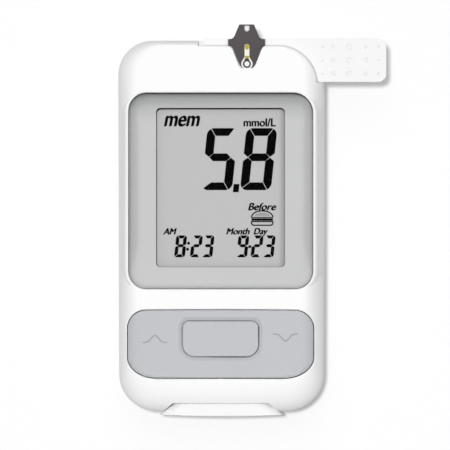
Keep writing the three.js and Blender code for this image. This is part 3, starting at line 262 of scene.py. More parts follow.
def body_ring(off, drawn, rounds, corners, z, extra=0.0, curve=1.0):
    shares = (drawn ** curve, drawn, drawn)
    side, top, bottom = [off + max(wide - off, 0.0) * share for wide, share in zip(rounds, shares)]
    corner_top = BODY.corner_top + (corners[0] - BODY.corner_top) * drawn - off
    corner_bottom = BODY.corner_bottom + (corners[1] - BODY.corner_bottom) * drawn - off
    return level(body_outline(side, top, bottom - extra, corner_top, corner_bottom), z)


def rear_rings(off, extra=0.0):
    rounds, corners, high = [BODY.round_rear] * 3, [BODY.corner_rear] * 2, BODY.round_rear_high
    return [body_ring(off, drawn, rounds, corners, high - (high - off) * down, extra)
            for drawn, down in reversed(quarter_steps())]


def front_rings(off, extra=0.0):
    rounds = [BODY.round_side, BODY.round_top, BODY.round_bottom]
    corners, high = [BODY.corner_top_front, BODY.corner_bottom_front], BODY.round_front
    low, curve = front_z - high, BODY.side_curve
    return [body_ring(off, drawn, rounds, corners, low + (high - off) * up, extra, curve)
            for drawn, up in quarter_steps()]


def body_solid(off, extra=0.0):
    return loft("body", rear_rings(off, extra) + front_rings(off, extra))


# %% Lay out the edges of the panels from the frame
RIM_INSET, TOP_INSET = 0.2, 0.28
PANE_MARGIN, PANE_FOOT = 1.2, 1.48
PIN_REACH, KEYS_TOP_INSET = 1.6, 0.3
FLANGE, BUTTON_INSET = 0.8, 0.15
(left, right), (bottom, top), bezel_zs = edges("display_bezel")
bezel = panel(left + RIM_INSET, right, bottom, top - TOP_INSET, corner=4.3, right_corner=4.8)
(left, right), (bottom, top), pane_zs = edges("display_window")
window = panel(left + PANE_MARGIN, right - PANE_MARGIN, bottom + PANE_FOOT, top - PANE_MARGIN,
               corner=1.05)
(left, right), rocker_y, _ = edges("rocker_key")
keys = panel(left, right, rocker_y[0] + PIN_REACH, rocker_y[1] - PIN_REACH - KEYS_TOP_INSET,
             corner=4.5, wide=7.1, high=5.1, crown=0.1)
(left, right), (bottom, top), _ = edges("centre_button")
button = panel(left + FLANGE + BUTTON_INSET, right - FLANGE,
               bottom + FLANGE, top - FLANGE - BUTTON_INSET, corner=1.5, wide=2.9)
for name, sides in (("bezel", bezel), ("window", window), ("keys", keys), ("button", button)):
    print(name, {side: round(sides[side], 2) for side in ("left", "right", "bottom", "top")})

# %% [markdown]
# Beside the display the sides of the body would fall away under the bezel's rim. The real
# moulding carries a low collar there, so that the rim stays level: a narrow edge that rounds over
# into a steep flank. The collar is a stack of the bezel's own outline, wide at its foot and
# narrow at its top, given as pairs: how far the outline is grown and how high that ring lies.

# %% Raise the collar round the bezel
COLLAR = [(2.35, 13.4), (1.15, 17.4), (0.9, 17.85), (0.6, 18.18), (0.3, 18.35)]


def collar(off):
    return loft("collar", [level(panel_outline(bezel, wide - off), high - off)
                           for wide, high in COLLAR])


def skin_solid(off):
    """The body with its collar, drawn in by off."""
    return fuse(body_solid(off), collar(off))


# %% [markdown]
# Rounded edges have to follow a face that is itself curved. A search tree over the body's skin
# answers the question "how high is the face here", and a ring can then be laid on the face at any
# offset. Stepping an outline in and down along a quarter circle gives a moulded edge radius.

# %% Find the height of the body's face at a place
EDGE_STEPS = 6
skin_trees = {}


def face_z(x, y, off=0.0):
    """The height of the face, or of the face drawn in by off, above a place."""
    if off not in skin_trees:
        skin = skin_solid(off)
        skin_trees[off] = BVHTree.FromObject(skin, bpy.context.evaluated_depsgraph_get())
        bpy.data.objects.remove(skin)
    above = Vector((x * MM, y * MM, 2 * front_z * MM))
    hit = skin_trees[off].ray_cast(above, Vector((0, 0, -1)))[0]
    return front_z - BODY.round_front if hit is None else hit.z / MM


def on_face(outline, rise=0.0, off=0.0):
    return [(x, y, face_z(x, y, off) + rise) for x, y in outline]


print(f"the face is {face_z(0, 0):.2f} high in its middle,",
      f"{face_z(half_width - 1, 0):.2f} at its side")


def rounded_plug(name, outline, low, radius, off=0.0, way=-1):
    """A solid from low up through the face, whose edge is rounded where it meets the face."""
    rings = [on_face(outline(way * radius * out), radius * (up - 1), off)
             for out, up in quarter_steps(EDGE_STEPS)]
    foot, top = level(outline(0.0), low), level(outline(way * radius), front_z + BEYOND)
    return loft(name, [foot, *rings, top])


def flared_cutter(name, outline, low, radius):
    """A cutter that leaves a rounded rim where its opening meets the face."""
    return rounded_plug(name, outline, low, radius, way=1)


# %% [markdown]
# ## The front housing
# The real one is a white moulded shell. Its outside is drawn fresh here with many outlines. What
# it holds inside, such as ribs, seats and screw bosses, is already right in the frame, so a copy
# of that inside is trimmed and joined to the fine skin. The openings are then cut through both.

# %% Take the inside of a housing from the frame
INSIDE = 0.9
SKIN = 1.4
SEAM_CHAMFER = 0.15
SAME_CORNER = 0.001 * MM


def inside_of(node):
    mesh = frame["nodes"][node].data.copy()
    shape = bmesh.new()
    shape.from_mesh(mesh)
    bmesh.ops.remove_doubles(shape, verts=shape.verts, dist=SAME_CORNER)
    shape.to_mesh(mesh)
    shape.free()
    return trim(place(node + "_inside", mesh), body_solid(INSIDE))


def straight_ring(off, z):
    return body_ring(off, 0.0, [0.0] * 3, [BODY.corner_top, BODY.corner_bottom], z)


# %% Cut the shell of the front housing
SEAT_GAP, TOP_GAP = 0.1, 0.26
KEY_GAP, BUTTON_GAP = 0.2, 0.3
RIM_RADIUS, KEY_RIM_RADIUS = 0.4, 0.25
REBATE_TOP = parting_z + 1.2
BELOW_BEZEL = bezel_zs[0] - 0.1
bezel_seat = dict(bezel, top=bezel["top"] + TOP_GAP - SEAT_GAP)


def front_shell():
    chamfered = [straight_ring(SEAM_CHAMFER, parting_z),
                 straight_ring(0.0, parting_z + SEAM_CHAMFER)]
    shell = fuse(loft("front_shell", chamfered + front_rings(0.0)), collar(0.0))
    hollow = [straight_ring(INSIDE, parting_z - BEYOND), straight_ring(INSIDE, REBATE_TOP),
              straight_ring(SKIN, REBATE_TOP)] + front_rings(SKIN)
    fuse(carve(shell, loft("hollow", hollow)), inside_of("front_housing"))
    return carve(
        shell,
        flared_cutter("seat", grown(bezel_seat, SEAT_GAP), BELOW_BEZEL, RIM_RADIUS),
        flared_cutter("key_hole", grown(keys, KEY_GAP), 0.0, KEY_RIM_RADIUS),
    )


front_housing = front_shell()
print("front shell", len(front_housing.data.polygons), "faces")

# %% [markdown]
# The strip port is the hardest part of this shell. The front panel ends in a straight top edge
# and a large round corner at the right, and the test strip slides in under it over a lower ledge.
# A notch in the panel's edge lets the strip's dark label pass. The ledge is a block from which
# the rounded panel is taken away first, so one cut leaves the panel standing with its edge
# rounded.

# %% Lay out the strip port
STRIP_WIDE, LABEL_RISE = 10.5, 9.55
PORT = Sizes(side_gap=1.2, end_gap=0.3, floor_gap=0.15, roof_gap=0.18, ledge=1.4, ledge_gap=0.05,
             wall=1.2, right_inset=11.1, right_radius=9.4, edge_radius=0.35,
             notch_gap=0.15, notch_radius=0.12)
(strip_left, strip_right), (strip_bottom, _), (strip_low, strip_high) = edges("test_strip")
label_x, _, (film_low, label_high) = edges("strip_label")
LABEL_X, LABEL_Y = sum(label_x) / 2, strip_bottom + LABEL_RISE
strip_top = strip_bottom + STRIP_WIDE
slot_left = strip_left - PORT.side_gap
slot_end = strip_bottom - PORT.end_gap
slot_floor = strip_low - PORT.floor_gap
slot_roof = label_high + PORT.roof_gap
panel_top = body_top - PORT.ledge
right_ledge = panel_top - PORT.right_radius


def port_outline(grow):
    left, low = slot_left - PORT.wall - grow, slot_end - 2 * BODY.wall
    centre, radius = half_width - PORT.right_inset, PORT.right_radius + grow
    points = [(left, low), (centre + radius, low)]
    points += arc(centre, right_ledge, radius, radius, 0, steps=2 * FINE)
    points += [(centre + (left - centre) * i / FINE, panel_top + grow) for i in range(1, FINE + 1)]
    return points


# %% [markdown]
# The strip's label is a shield: a straight top, two ears, and a foot that narrows round a ring.
# The right side is written as a list of points, from the foot to the top, and mirrored. Where a
# row has a second point, the line to the first one is a curve that the second one pulls, as in a
# vector drawing program. The printed label isn't quite even, so its ears and top lie a hair to
# the left, and what is below them a hair to the right.

# %% Draw the label's outline
LABEL = Sizes(top=4.35, ring_drop=5.15, ear_rise=0.77, high_shift=-0.08, low_shift=0.13)
LABEL_SIDE = [
    [(1.15, -6.1)], [(2.17, -4.6), (1.8, -5.7)], [(3.2, -1.95)],
    [(4.3, -LABEL.ear_rise), (3.66, -LABEL.ear_rise)], [(4.45, -LABEL.ear_rise)],
    [(4.45, LABEL.ear_rise)], [(4.3, LABEL.ear_rise)], [(2.9, 1.75), (3.31, LABEL.ear_rise)],
    [(1.93, 4.05)], [(1.63, LABEL.top), (1.93, LABEL.top)],
]


def label_outline(grow=0.0):
    side = []
    for row in LABEL_SIDE:
        end, *pull = [(half + grow, rise + math.copysign(grow, rise)) for half, rise in row]
        side += curve_between(side[-1], pull[0], end) if pull else [end]
    low_ear = -LABEL.ear_rise - abs(grow)
    return [(LABEL_X + x + (LABEL.low_shift if y < low_ear else LABEL.high_shift), LABEL_Y + y)
            for x, y in side + [(-x, y) for x, y in reversed(side)]]


# %% Cut the port into the front housing
def port_cutters():
    wide, far = 2 * half_width, 2 * body_top
    raised = rounded_plug("raised", port_outline, -BEYOND, PORT.edge_radius)
    ledge_low, above = strip_bottom - PORT.ledge_gap, front_z + BEYOND / 2

    def notch(grow):
        return label_outline(PORT.notch_gap + grow)

    return [
        carve(block("ledge", slot_left, wide, ledge_low, far, slot_floor, above), raised),
        block("slot", slot_left, wide, slot_end, far, slot_floor, slot_roof),
        flared_cutter("notch", notch, slot_floor, PORT.notch_radius),
    ]


carve(front_housing, *port_cutters())
print("strip port from", round(slot_floor, 2), "to", round(slot_roof, 2), "high")

# %% [markdown]
# The battery cover's thumb lip wraps the bottom end, so the housing has an opening of the same
# shape there: a trapezoid in plan, a little wider than the lip.

# %% Cut the lip's opening
LIP = Sizes(side=9.4, spread=4.0, reach=2.4, gap=0.02)
lip_half = half_width - LIP.side
lip_top_y, lip_bottom_y = body_bottom + LIP.reach, body_bottom - LIP_PROUD


def lip_outline(grow, far=lip_bottom_y - BEYOND, top_grow=None):
    """The trapezoid of the lip down to far. Its top edge grows like its flanks or by top_grow."""
    slope = LIP.spread / (lip_top_y - lip_bottom_y)
    top = lip_top_y + (grow if top_grow is None else top_grow)
    low_half, top_half = (
        lip_half - LIP.spread + (lip_top_y - y) * slope + grow * math.hypot(1, slope)
        for y in (far, top))
    return [(-low_half, far), (low_half, far), (top_half, top), (-top_half, top)]


carve(front_housing, prism("lip_opening", lip_outline(LIP.gap), -BEYOND, front_z + BEYOND))
print("front housing", len(front_housing.data.polygons), "faces")

# %% [markdown]
# ## The rear housing and the battery cover
# The back is a second moulded shell. Two long cells lie in a bay under a sliding cover, four
# screws stand in round pockets, and the cover's rails run in grooves. The way is the one of the
# front: a fine skin, the inside from the frame, and each opening cut through both.

# %% Cut the shell of the rear housing
PARTING_GAP, PLATE_GAP, CELL_GAP, RAIL_GAP = 0.1, 0.1, 0.75, 0.2
POCKET_RADIUS, POCKET_TOP = 2.15, 3.0
COVER = Sizes(border=2.3, tongue_long=1.1, tongue_half=5.0, thick=1.3, gap=0.25, corner=1.5,
              rail_wide=0.9, rail_thick=0.6, rail_inset=3.0, rail_end=6.6, plate_end=1.9)
rear_parting = parting_z - PARTING_GAP
bay_bottom = edges("battery_plus_plate")[1][0] - PLATE_GAP
bay_top = edges("battery_link_plate")[1][1] + PLATE_GAP
bay_half = edges("battery_right")[0][1] + CELL_GAP
cover_half = bay_half + COVER.border
cover_top = edges("battery_cover")[1][1] - COVER.tongue_long
cover_bottom = body_bottom + COVER.plate_end
seat_top = COVER.thick + RAIL_GAP
rail_low = COVER.thick - COVER.rail_thick


def disc_outline(x, y, radius, steps=2 * FINE):
    return arc(x, y, radius, radius, 0, turn=4 * QUARTER, steps=steps)[:-1]


screws = [node for node in sorted(frame["nodes"]) if node.startswith("screw_")]
screw_places = [[sum(side) / 2 for side in edges(node)[:2]] for node in screws]


def rear_shell():
    chamfered = [straight_ring(0.0, rear_parting - SEAM_CHAMFER),
                 straight_ring(SEAM_CHAMFER, rear_parting)]
    shell = loft("rear_shell", rear_rings(0.0) + chamfered)
    hollow = rear_rings(SKIN) + [straight_ring(SKIN, rear_parting + BEYOND)]
    fuse(carve(shell, loft("hollow", hollow)), inside_of("rear_housing"))
    gap, groove, far = COVER.gap, cover_half + COVER.rail_wide + COVER.gap, 2 * body_bottom
    seat = panel(-cover_half, cover_half, far, cover_top, corner=COVER.corner)
    groove_low, groove_top = rail_low - RAIL_GAP, cover_top - COVER.rail_inset + gap
    tongue = COVER.tongue_half + gap
    pockets = [prism("pocket", disc_outline(x, y, POCKET_RADIUS), -BEYOND, POCKET_TOP)
               for x, y in screw_places]
    return carve(
        shell,
        block("bay", -bay_half, bay_half, bay_bottom, bay_top, -BEYOND, front_z),
        prism("seat", panel_outline(seat, gap), -BEYOND, seat_top),
        block("grooves", -groove, groove, far, groove_top, groove_low, seat_top),
        block("relief", -groove, groove, far, body_bottom + BODY.round_rear, -BEYOND, seat_top),
        block("catch", -tongue, tongue, 0, cover_top + COVER.tongue_long + gap,
              groove_low, seat_top),
        prism("lip_opening", lip_outline(LIP.gap), -BEYOND, front_z + BEYOND),
        *pockets,
    )


rear_housing = rear_shell()
print("rear housing", len(rear_housing.data.polygons), "faces, bay", round(bay_top - bay_bottom, 1))

# %% [markdown]
# The cover is one moulding: a thin plate with a rail along each side and a catch tongue, and at
# the bottom end a hollow thumb lip that wraps round to the front. The lip is a column whose
# flanks draw in towards its top. A side profile that falls a little outwards, a plan with two
# round corners and the body's own curve, moved outwards, trim it.

# %% Shape the battery cover
LIP_SHAPE = Sizes(top_z=13.9, far_z=13.4, edge=0.5, wall=1.3, bulge_wide=3.4, bulge_high=3.0,
                  bulge_top=0.03, corner_wide=2.4, corner_high=1.0)


def lip_profile():
    """The side view of the lip in Y and Z."""
    low, high, radius = lip_bottom_y, lip_top_y + BEYOND, LIP_SHAPE.edge
    points = [(high, -BEYOND), (high, LIP_SHAPE.top_z), (lip_top_y - radius / 2, LIP_SHAPE.top_z)]
    points += arc(low + radius, LIP_SHAPE.far_z - radius, radius, radius, QUARTER)
    return points + [(low, -BEYOND)]


def lip_column():
    rings = []
    for drawn, up in quarter_steps():
        outline = lip_outline(-LIP_SHAPE.bulge_wide * drawn, top_grow=-LIP_SHAPE.bulge_top * drawn)
        rings.append(level(outline, LIP_SHAPE.top_z - LIP_SHAPE.bulge_high * (1 - up)))
    side = [[(x, y, z) for y, z in lip_profile()] for x in (-half_width, half_width)]
    foot = panel(-lip_half, lip_half, lip_bottom_y, lip_top_y + 2 * BEYOND, corner=BEYOND,
                 wide=LIP_SHAPE.corner_wide, high=LIP_SHAPE.corner_high)
    return trim(
        loft("lip", [level(lip_outline(0.0), -BEYOND)] + rings),
        loft("side", side),
        prism("foot", panel_outline(foot), -2 * BEYOND, front_z),
        body_solid(0.0, extra=LIP_PROUD),
    )


def battery_cover():
    plate = panel(-cover_half, cover_half, cover_bottom, cover_top, corner=COVER.corner)
    cover = trim(prism("battery_door", panel_outline(plate), 0.0, COVER.thick), body_solid(0.0))
    rail, tongue, wall = cover_half + COVER.rail_wide, COVER.tongue_half, LIP_SHAPE.wall
    rail_bottom, rail_top = body_bottom + COVER.rail_end, cover_top - COVER.rail_inset
    low_y = lip_bottom_y + wall
    inner = [(x, y + 2 * BEYOND if y > low_y + BEYOND / 2 else y)
             for x, y in lip_outline(-wall, low_y)]
    return fuse(
        cover,
        block("rails", -rail, rail, rail_bottom, rail_top, rail_low, COVER.thick),
        block("tongue", -tongue, tongue, 0, cover_top + COVER.tongue_long, rail_low, COVER.thick),
        carve(lip_column(), prism("scoop", inner, COVER.thick, LIP_SHAPE.far_z - wall)),
    )


door = battery_cover()
print("battery cover", len(door.data.polygons), "faces")

# %% [markdown]
# ## The display bezel
# The grey panel round the display is dished: its flat floor turns up at the edges in a soft cove,
# so the sides catch a dark gradient in the photograph. The cove is a stack of outlines that grows
# along a quarter of an ellipse, up to the height that the rim has at each place. The rim itself
# is only about a seventh of a millimetre wide, a little below the collar round it.

# %% Shape the display bezel
DISH = Sizes(drop=0.2, rim=0.14, edge=0.1, floor=16.8, thick=0.5, side=1.9, top=6.0, bottom=1.2)


def dish_cutter():
    rim, rim_outline = DISH.rim, panel_outline(bezel, -DISH.rim)
    rim_heights = [z for _, _, z in on_face(rim_outline, 0.0, DISH.drop)]
    rings = []
    for out, up in quarter_steps(2 * FINE):
        share = 1 - up
        ring = panel(
            bezel["left"] + rim + DISH.side * share, bezel["right"] - rim - DISH.side * share,
            bezel["bottom"] + rim + DISH.bottom * share, bezel["top"] - rim - DISH.top * share,
            corner=bezel["corner"] - rim)
        rings.append([(x, y, DISH.floor + (high - DISH.floor) * out)
                      for (x, y), high in zip(panel_outline(ring), rim_heights)])
    return loft("dish", rings + [level(rim_outline, front_z + BEYOND)])


def bezel_piece():
    piece = rounded_plug("bezel", grown(bezel), bezel_zs[0], DISH.edge, off=DISH.drop)
    return carve(
        trim(piece, skin_solid(DISH.drop)),
        dish_cutter(),
        prism("opening", panel_outline(window), 0.0, front_z),
        prism("pocket", panel_outline(window, PANE_MARGIN + SEAT_GAP),
              0.0, DISH.floor - DISH.thick),
    )


display_bezel = bezel_piece()
print("bezel", len(display_bezel.data.polygons), "faces")

# %% [markdown]
# At the top the gap between the bezel and the housing is wider, and a black strip set in it
# paints the gap's shade as a thin dark line. It follows both outlines, so it narrows towards the
# corners by itself.

# %% Fill the gap above the bezel with painted shade
GAP_SHADE = Sizes(foot=26.0, high=17.8, play=0.02)


def bezel_gap_shade():
    outer = panel_outline(bezel_seat, SEAT_GAP - GAP_SHADE.play)
    strip = prism("gap_shade_strip", outer, BELOW_BEZEL, GAP_SHADE.high)
    below = block("below", -half_width, half_width, body_bottom, GAP_SHADE.foot, 0.0, front_z)
    return carve(strip, prism("inside", panel_outline(bezel, GAP_SHADE.play), 0.0, front_z), below)


# The black strip is painted shade in the gap above the bezel.
gap_shade_strip = bezel_gap_shade()
print("gap_shade_strip", len(gap_shade_strip.data.polygons), "faces")

# %% [markdown]
# ## The keys
# One broad rocker carries the up and down arrows, and the centre button stands in a hole of it.
# Both caps follow the body's curve and stand a little proud of it, with rounded edges. Round the
# centre button the rocker falls away in a soft groove, so that a fingertip finds the button.

# %% Shape the rocker and the centre button
KEY = Sizes(proud=0.15, edge=0.3, button_edge=0.2, skirt_z=15.9, skirt_thick=1.1, cap_thick=1.4,
            pin_top=16.3, groove_wide=1.2, groove_deep=0.45)
key_top = front_z + KEY.proud


def groove_cutter():
    rings = [level(panel_outline(button, BUTTON_GAP), 0.0)]
    for share in [i / FINE for i in range(FINE + 1)]:
        outline = panel_outline(button, BUTTON_GAP + (KEY.groove_wide - BUTTON_GAP) * share)
        deep = KEY.groove_deep * (1 + math.cos(share * math.pi)) / 2
        rings.append(level(outline, key_top - deep))
    rings.append(level(panel_outline(button, KEY.groove_wide), front_z + 2 * BEYOND))
    return loft("groove", rings)


def key_cap(name, sides, low, radius):
    cap = rounded_plug(name, grown(sides), low, radius, off=-KEY.proud)
    return trim(cap, body_solid(-KEY.proud))


def rocker_piece():
    """The cap, hollowed and grooved, and the inside from the frame, kept within the cap's edge."""
    cap = key_cap("rocker", keys, KEY.skirt_z, KEY.edge)
    under = prism("under", panel_outline(keys, -KEY.skirt_thick), 0.0, key_top - KEY.cap_thick)
    carve(cap, under, groove_cutter())
    rim = carve(block("rim", -half_width, half_width, *rocker_y, KEY.pin_top, front_z + BEYOND),
                prism("within", panel_outline(keys), 0.0, front_z + 2 * BEYOND))
    return fuse(cap, carve(inside_of("rocker_key"), rim))


def button_piece():
    cap = key_cap("button", button, edges("keypad_sheet")[2][1] + BEYOND, KEY.button_edge)
    return fuse(cap, inside_of("centre_button"))


rocker = rocker_piece()
centre_button = button_piece()
print("rocker", len(rocker.data.polygons), "faces, button", len(centre_button.data.polygons))

# %% [markdown]
# Each end of the rocker has an arrow moulded into it: a wide chevron whose arms end in a small
# flare. It is cut a tenth of a millimetre deep and filled with grey ink, so the cut and the ink
# share one outline: a pen stroke along a line. The down arrow is the up arrow turned over.

# %% Engrave the arrows
ARROW = Sizes(x=15.8, half=2.95, high=1.85, width=0.3, foot=1.1, peak=0.5, peak_rise=0.05, bend=0.8,
              slant=0.3, deep=0.12, ink=0.05, ink_gap=0.02)
ARROW_RISE = {"arrow_up": -27.0, "arrow_down": -26.8}


def stroke(line, width):
    """The outline of a pen stroke of that width along a line of points."""
    above, below = [], []
    for i, (x, y) in enumerate(line):
        (x0, y0), (x1, y1) = line[max(i - 1, 0)], line[min(i + 1, len(line) - 1)]
        across, up = y0 - y1, x1 - x0
        half = width / 2 / math.hypot(across, up)
        above.append((x + across * half, y + up * half))
        below.append((x - across * half, y - up * half))
    return below + above[::-1]


def arrow_outline(x, y, way, grow=0.0):
    """A chevron with flat flared feet, pointing up the body where way is 1."""
    half, foot, peak, high = ARROW.half, ARROW.foot, ARROW.peak, ARROW.high / 2
    slope = 2 * high / (half - foot)
    shoulder = high - peak * slope * ARROW.bend
    start, arm = (-half, -high), (foot * (1 + ARROW.slant) - half, ARROW.slant * slope - high)
    line = [start] + curve_between(start, (foot * ARROW.bend - half, -high), arm)
    line += curve_between((-peak, shoulder), (0, high + ARROW.peak_rise), (peak, shoulder))
    line += [(-across, up) for across, up in reversed(line[:FINE + 1])]
    outline = stroke(line, ARROW.width + 2 * grow)[::way]
    return [(x + across, y + way * up) for across, up in outline]


def arrow_solid(name, x, y, way, grow, low, high):
    outline = arrow_outline(x, y, way, grow)
    return loft(name, [on_face(outline, rise, -KEY.proud) for rise in (low, high)])


arrows = {}
for name, way in (("arrow_up", 1), ("arrow_down", -1)):
    spot = (-way * ARROW.x, ARROW_RISE[name], way)
    carve(rocker, arrow_solid("engraving", *spot, 0.0, -ARROW.deep, BEYOND))
    arrows[name] = arrow_solid(name, *spot, -ARROW.ink_gap, -ARROW.deep, ARROW.ink - ARROW.deep)
print("arrows", sorted(arrows))

# %% [markdown]
# ## The test strip
# The strip is a thin white laminate. Its handle has a grid of shallow round dimples for grip,
# which grow towards the middle column. A dimple is the cap of a ball: its radius follows from how
# wide and how deep the dimple is.

# %% Shape the strip with its dimples
GRIP_COLUMNS = [(24.7, 0.32), (27.25, 0.6), (31.1, 0.85), (35.2, 0.6), (38.2, 0.4)]
GRIP_ROWS = [43.6, 40.35, 37.1]
GRIP_DEEP_SHARE = 0.3
STRIP_CORNER, STRIP_LEFT_CORNER, STRIP_EDGE = 2.0, 0.4, 0.08
BALL_RINGS, BALL_SIDES, SHEET_STEPS = 12, 32, 3
TAB_INSET = 0.05


def ball(x, y, z, radius):
    rings = []
    for angle in [-QUARTER + 2 * QUARTER * i / BALL_RINGS for i in range(1, BALL_RINGS)]:
        outline = disc_outline(x, y, radius * math.cos(angle), BALL_SIDES)
        rings.append(level(outline, z + radius * math.sin(angle)))
    return loft("ball", rings)


def strip_outline(grow):
    points = []
    for turn, right, top in ((2, 0, 0), (3, 1, 0), (0, 1, 1), (1, 0, 1)):
        radius = (STRIP_CORNER if right else STRIP_LEFT_CORNER) + grow
        x = strip_right + grow - radius if right else strip_left - grow + radius
        y = strip_top + grow - radius if top else strip_bottom - grow + radius
        points += arc(x, y, radius, radius, turn * QUARTER)
    return points


def edged_sheet(name, outline, low, high, radius):
    """A flat sheet whose upper edge is rounded."""
    rings = [level(outline(-radius * out), high - radius * (1 - up))
             for out, up in quarter_steps(SHEET_STEPS)]
    return loft(name, [level(outline(0.0), low)] + rings)


def strip_piece():
    piece = edged_sheet("strip", strip_outline, strip_low, strip_high, STRIP_EDGE)
    fuse(piece, prism("tab", label_outline(-TAB_INSET), strip_low, strip_high))
    balls = []
    for x, radius in GRIP_COLUMNS:
        deep = GRIP_DEEP_SHARE * radius
        curve = (radius * radius + deep * deep) / (2 * deep)
        balls += [ball(x, y, strip_high + curve - deep, curve) for y in GRIP_ROWS]
    return carve(piece, *balls)


strip = strip_piece()
print("strip", len(strip.data.polygons), "faces,", len(GRIP_COLUMNS) * len(GRIP_ROWS), "dimples")

# %% [markdown]
# The dark label on the strip has a small window at its tip and a keyhole for the sample channel.
# In the keyhole lie a cream film, a gold electrode and a white band that runs round the sample
# hole and up its neck. Each is a thin sheet of its own, a few hundredths of a millimetre above
# the one below, as printed layers are.

# %% Shape the label and the printed layers in its keyhole
FILM, AIR = 0.04, 0.01
CHANNEL = Sizes(half=0.62, rise=0.3, ring=1.42, well=1.0, dot=0.6, dot_top=0.07)
SLIT = Sizes(half=0.65, deep=1.7, shoulder=0.2, corner=0.15)
ring_y = LABEL_Y - LABEL.ring_drop
film_top = edges("strip_channel")[2][1]
FLARE = (1.17, CHANNEL.half, 0.7, 1.67)
WHITE_NECK, WELL_NECK = (1.15, 0.6, 0.7, 1.65), (0.72, 0.4, 0.6, 1.69)
DARK_NECK, GOLD_NECK = (0.72, 0.4, 0.6, 1.35), (0.4, 0.55, 1.36, 1.9)


def neck_outline(low_half, top_half, low, top):
    """A neck's halves of its width at both ends, and how far these lie above the ring."""
    return [(LABEL_X + half, ring_y + rise) for half, rise in
            ((-low_half, low), (low_half, low), (top_half, top), (-top_half, top))]


def disc_with_neck(name, radius, neck, low, high):
    disc = prism(name, disc_outline(LABEL_X, ring_y, radius), low, high)
    return fuse(disc, prism("neck", neck_outline(*neck), low, high))


def label_piece():
    tip, half, ring = LABEL_Y + LABEL.top, CHANNEL.half, CHANNEL.ring
    slit = panel(LABEL_X - SLIT.half, LABEL_X + SLIT.half, tip - SLIT.deep, tip - SLIT.shoulder,
                 corner=SLIT.corner, wide=SLIT.half)
    lean, top = math.asin(half / ring), LABEL_Y - CHANNEL.rise
    keyhole = arc(LABEL_X, ring_y, ring, ring, QUARTER + lean, 4 * QUARTER - 2 * lean, 3 * FINE)
    keyhole += arc(LABEL_X, top - half, half, half, 0, 2 * QUARTER, 2 * FINE)
    holes = {"slit": panel_outline(slit), "keyhole": keyhole, "flare": neck_outline(*FLARE)}
    return carve(edged_sheet("label", label_outline, film_low, label_high, FILM),
                 *[prism(name, outline, 0.0, front_z) for name, outline in holes.items()])


def sample_area():
    """The white band round the sample hole, the dark print in it and the white dot."""
    low, high = film_top + AIR, film_top + FILM
    band = disc_with_neck("sample_ring", CHANNEL.ring - FILM, WHITE_NECK, low, high)
    carve(band, disc_with_neck("well", CHANNEL.well, WELL_NECK, low - FILM, high + FILM))
    dark = disc_with_neck("sample_disc", CHANNEL.well - AIR, DARK_NECK, low, high)
    dot = disc_outline(LABEL_X, ring_y, CHANNEL.dot)
    return band, dark, prism("sample_dot", dot, high + AIR, film_top + CHANNEL.dot_top)


label = label_piece()
white_ring, dark_disc, white_dot = sample_area()
electrode_tip = prism("electrode_tip", neck_outline(*GOLD_NECK), film_top + AIR, film_top + FILM)
print("label", len(label.data.polygons), "faces")

# %% [markdown]
# ## What the display shows
# A digit of such a display has seven bars. Each bar is a closed plate a few hundredths thick, its
# ends mitred against its neighbours with a hairline gap, and the outer corners are rounded.
# Writing the bars once, for a digit of any width, height and bar width, serves the large and
# small digits.

# %% Draw the seven bars of a digit
BAR_SETS = {"2": "abged", "3": "abgcd", "5": "afgcd", "8": "abcdefg", "9": "abcdfg"}
SLANT = 0.105
INK_LOW, INK_HIGH = 0.02, 0.06
TOP_CUT, LEFT_CUT, RIGHT_CUT = 0.72, 0.48, 0.74
SIDE_SHARE, MIDDLE_SHARE, TIP_SHARE, CORNER_SHARE = 1.13, 0.53, 0.7, 0.8
lcd_top = edges("lcd_glass")[2][1]


def bar_outlines(width, high, bar, gap):
    """The outline of each bar of a digit that stands on the origin, before it is slanted."""
    side, middle, half, tip = SIDE_SHARE * bar, MIDDLE_SHARE * high, bar / 2, TIP_SHARE * gap
    radius = CORNER_SHARE * side
    slip = gap / (2 * radius * QUARTER)

    def corner(first, last, steps=4):
        """Points of the rounded corner at the lower left, from its side at 0 to its foot at 1."""
        angles = [QUARTER * (first + (last - first) * i / steps) for i in range(steps + 1)]
        return [(radius * (1 - math.cos(a)), radius * (1 - math.sin(a))) for a in angles]

    def half_gap(cut):
        """How far an inner corner moves sideways or up from a cut that meets the corner there."""
        x, y = corner(cut, cut)[0]
        run, rise = side - x, bar - y
        return gap / 2 * math.hypot(run, rise) / rise, gap / 2 * math.hypot(run, rise) / run

    def flip(points):
        return [(width - x, y) for x, y in points]

    def over(points):
        return [(x, high - y) for x, y in points]

    def flat(left, right):
        left_end = [(side + half_gap(left)[0], bar)] + corner(left + slip, 1)
        right_end = [(side + half_gap(right)[0], bar)] + corner(right + slip, 1)
        return left_end + flip(right_end)[::-1]

    def upright(cut, knee):
        return [(0, knee - half)] + corner(0, cut - slip) + [
            (side, bar + half_gap(cut)[1]), (side, knee - half), (side / 2, knee - tip)]

    upper = upright(TOP_CUT, high - middle)
    left_half = [(side + tip / 2, middle - half), (side / 2 + tip, middle),
                 (side + tip / 2, middle + half)]
    return {"a": over(flat(TOP_CUT, TOP_CUT)), "b": over(flip(upper)), "f": over(upper),
            "c": flip(upright(RIGHT_CUT, middle)), "e": upright(LEFT_CUT, middle),
            "d": flat(LEFT_CUT, RIGHT_CUT), "g": left_half + flip(left_half)[::-1]}


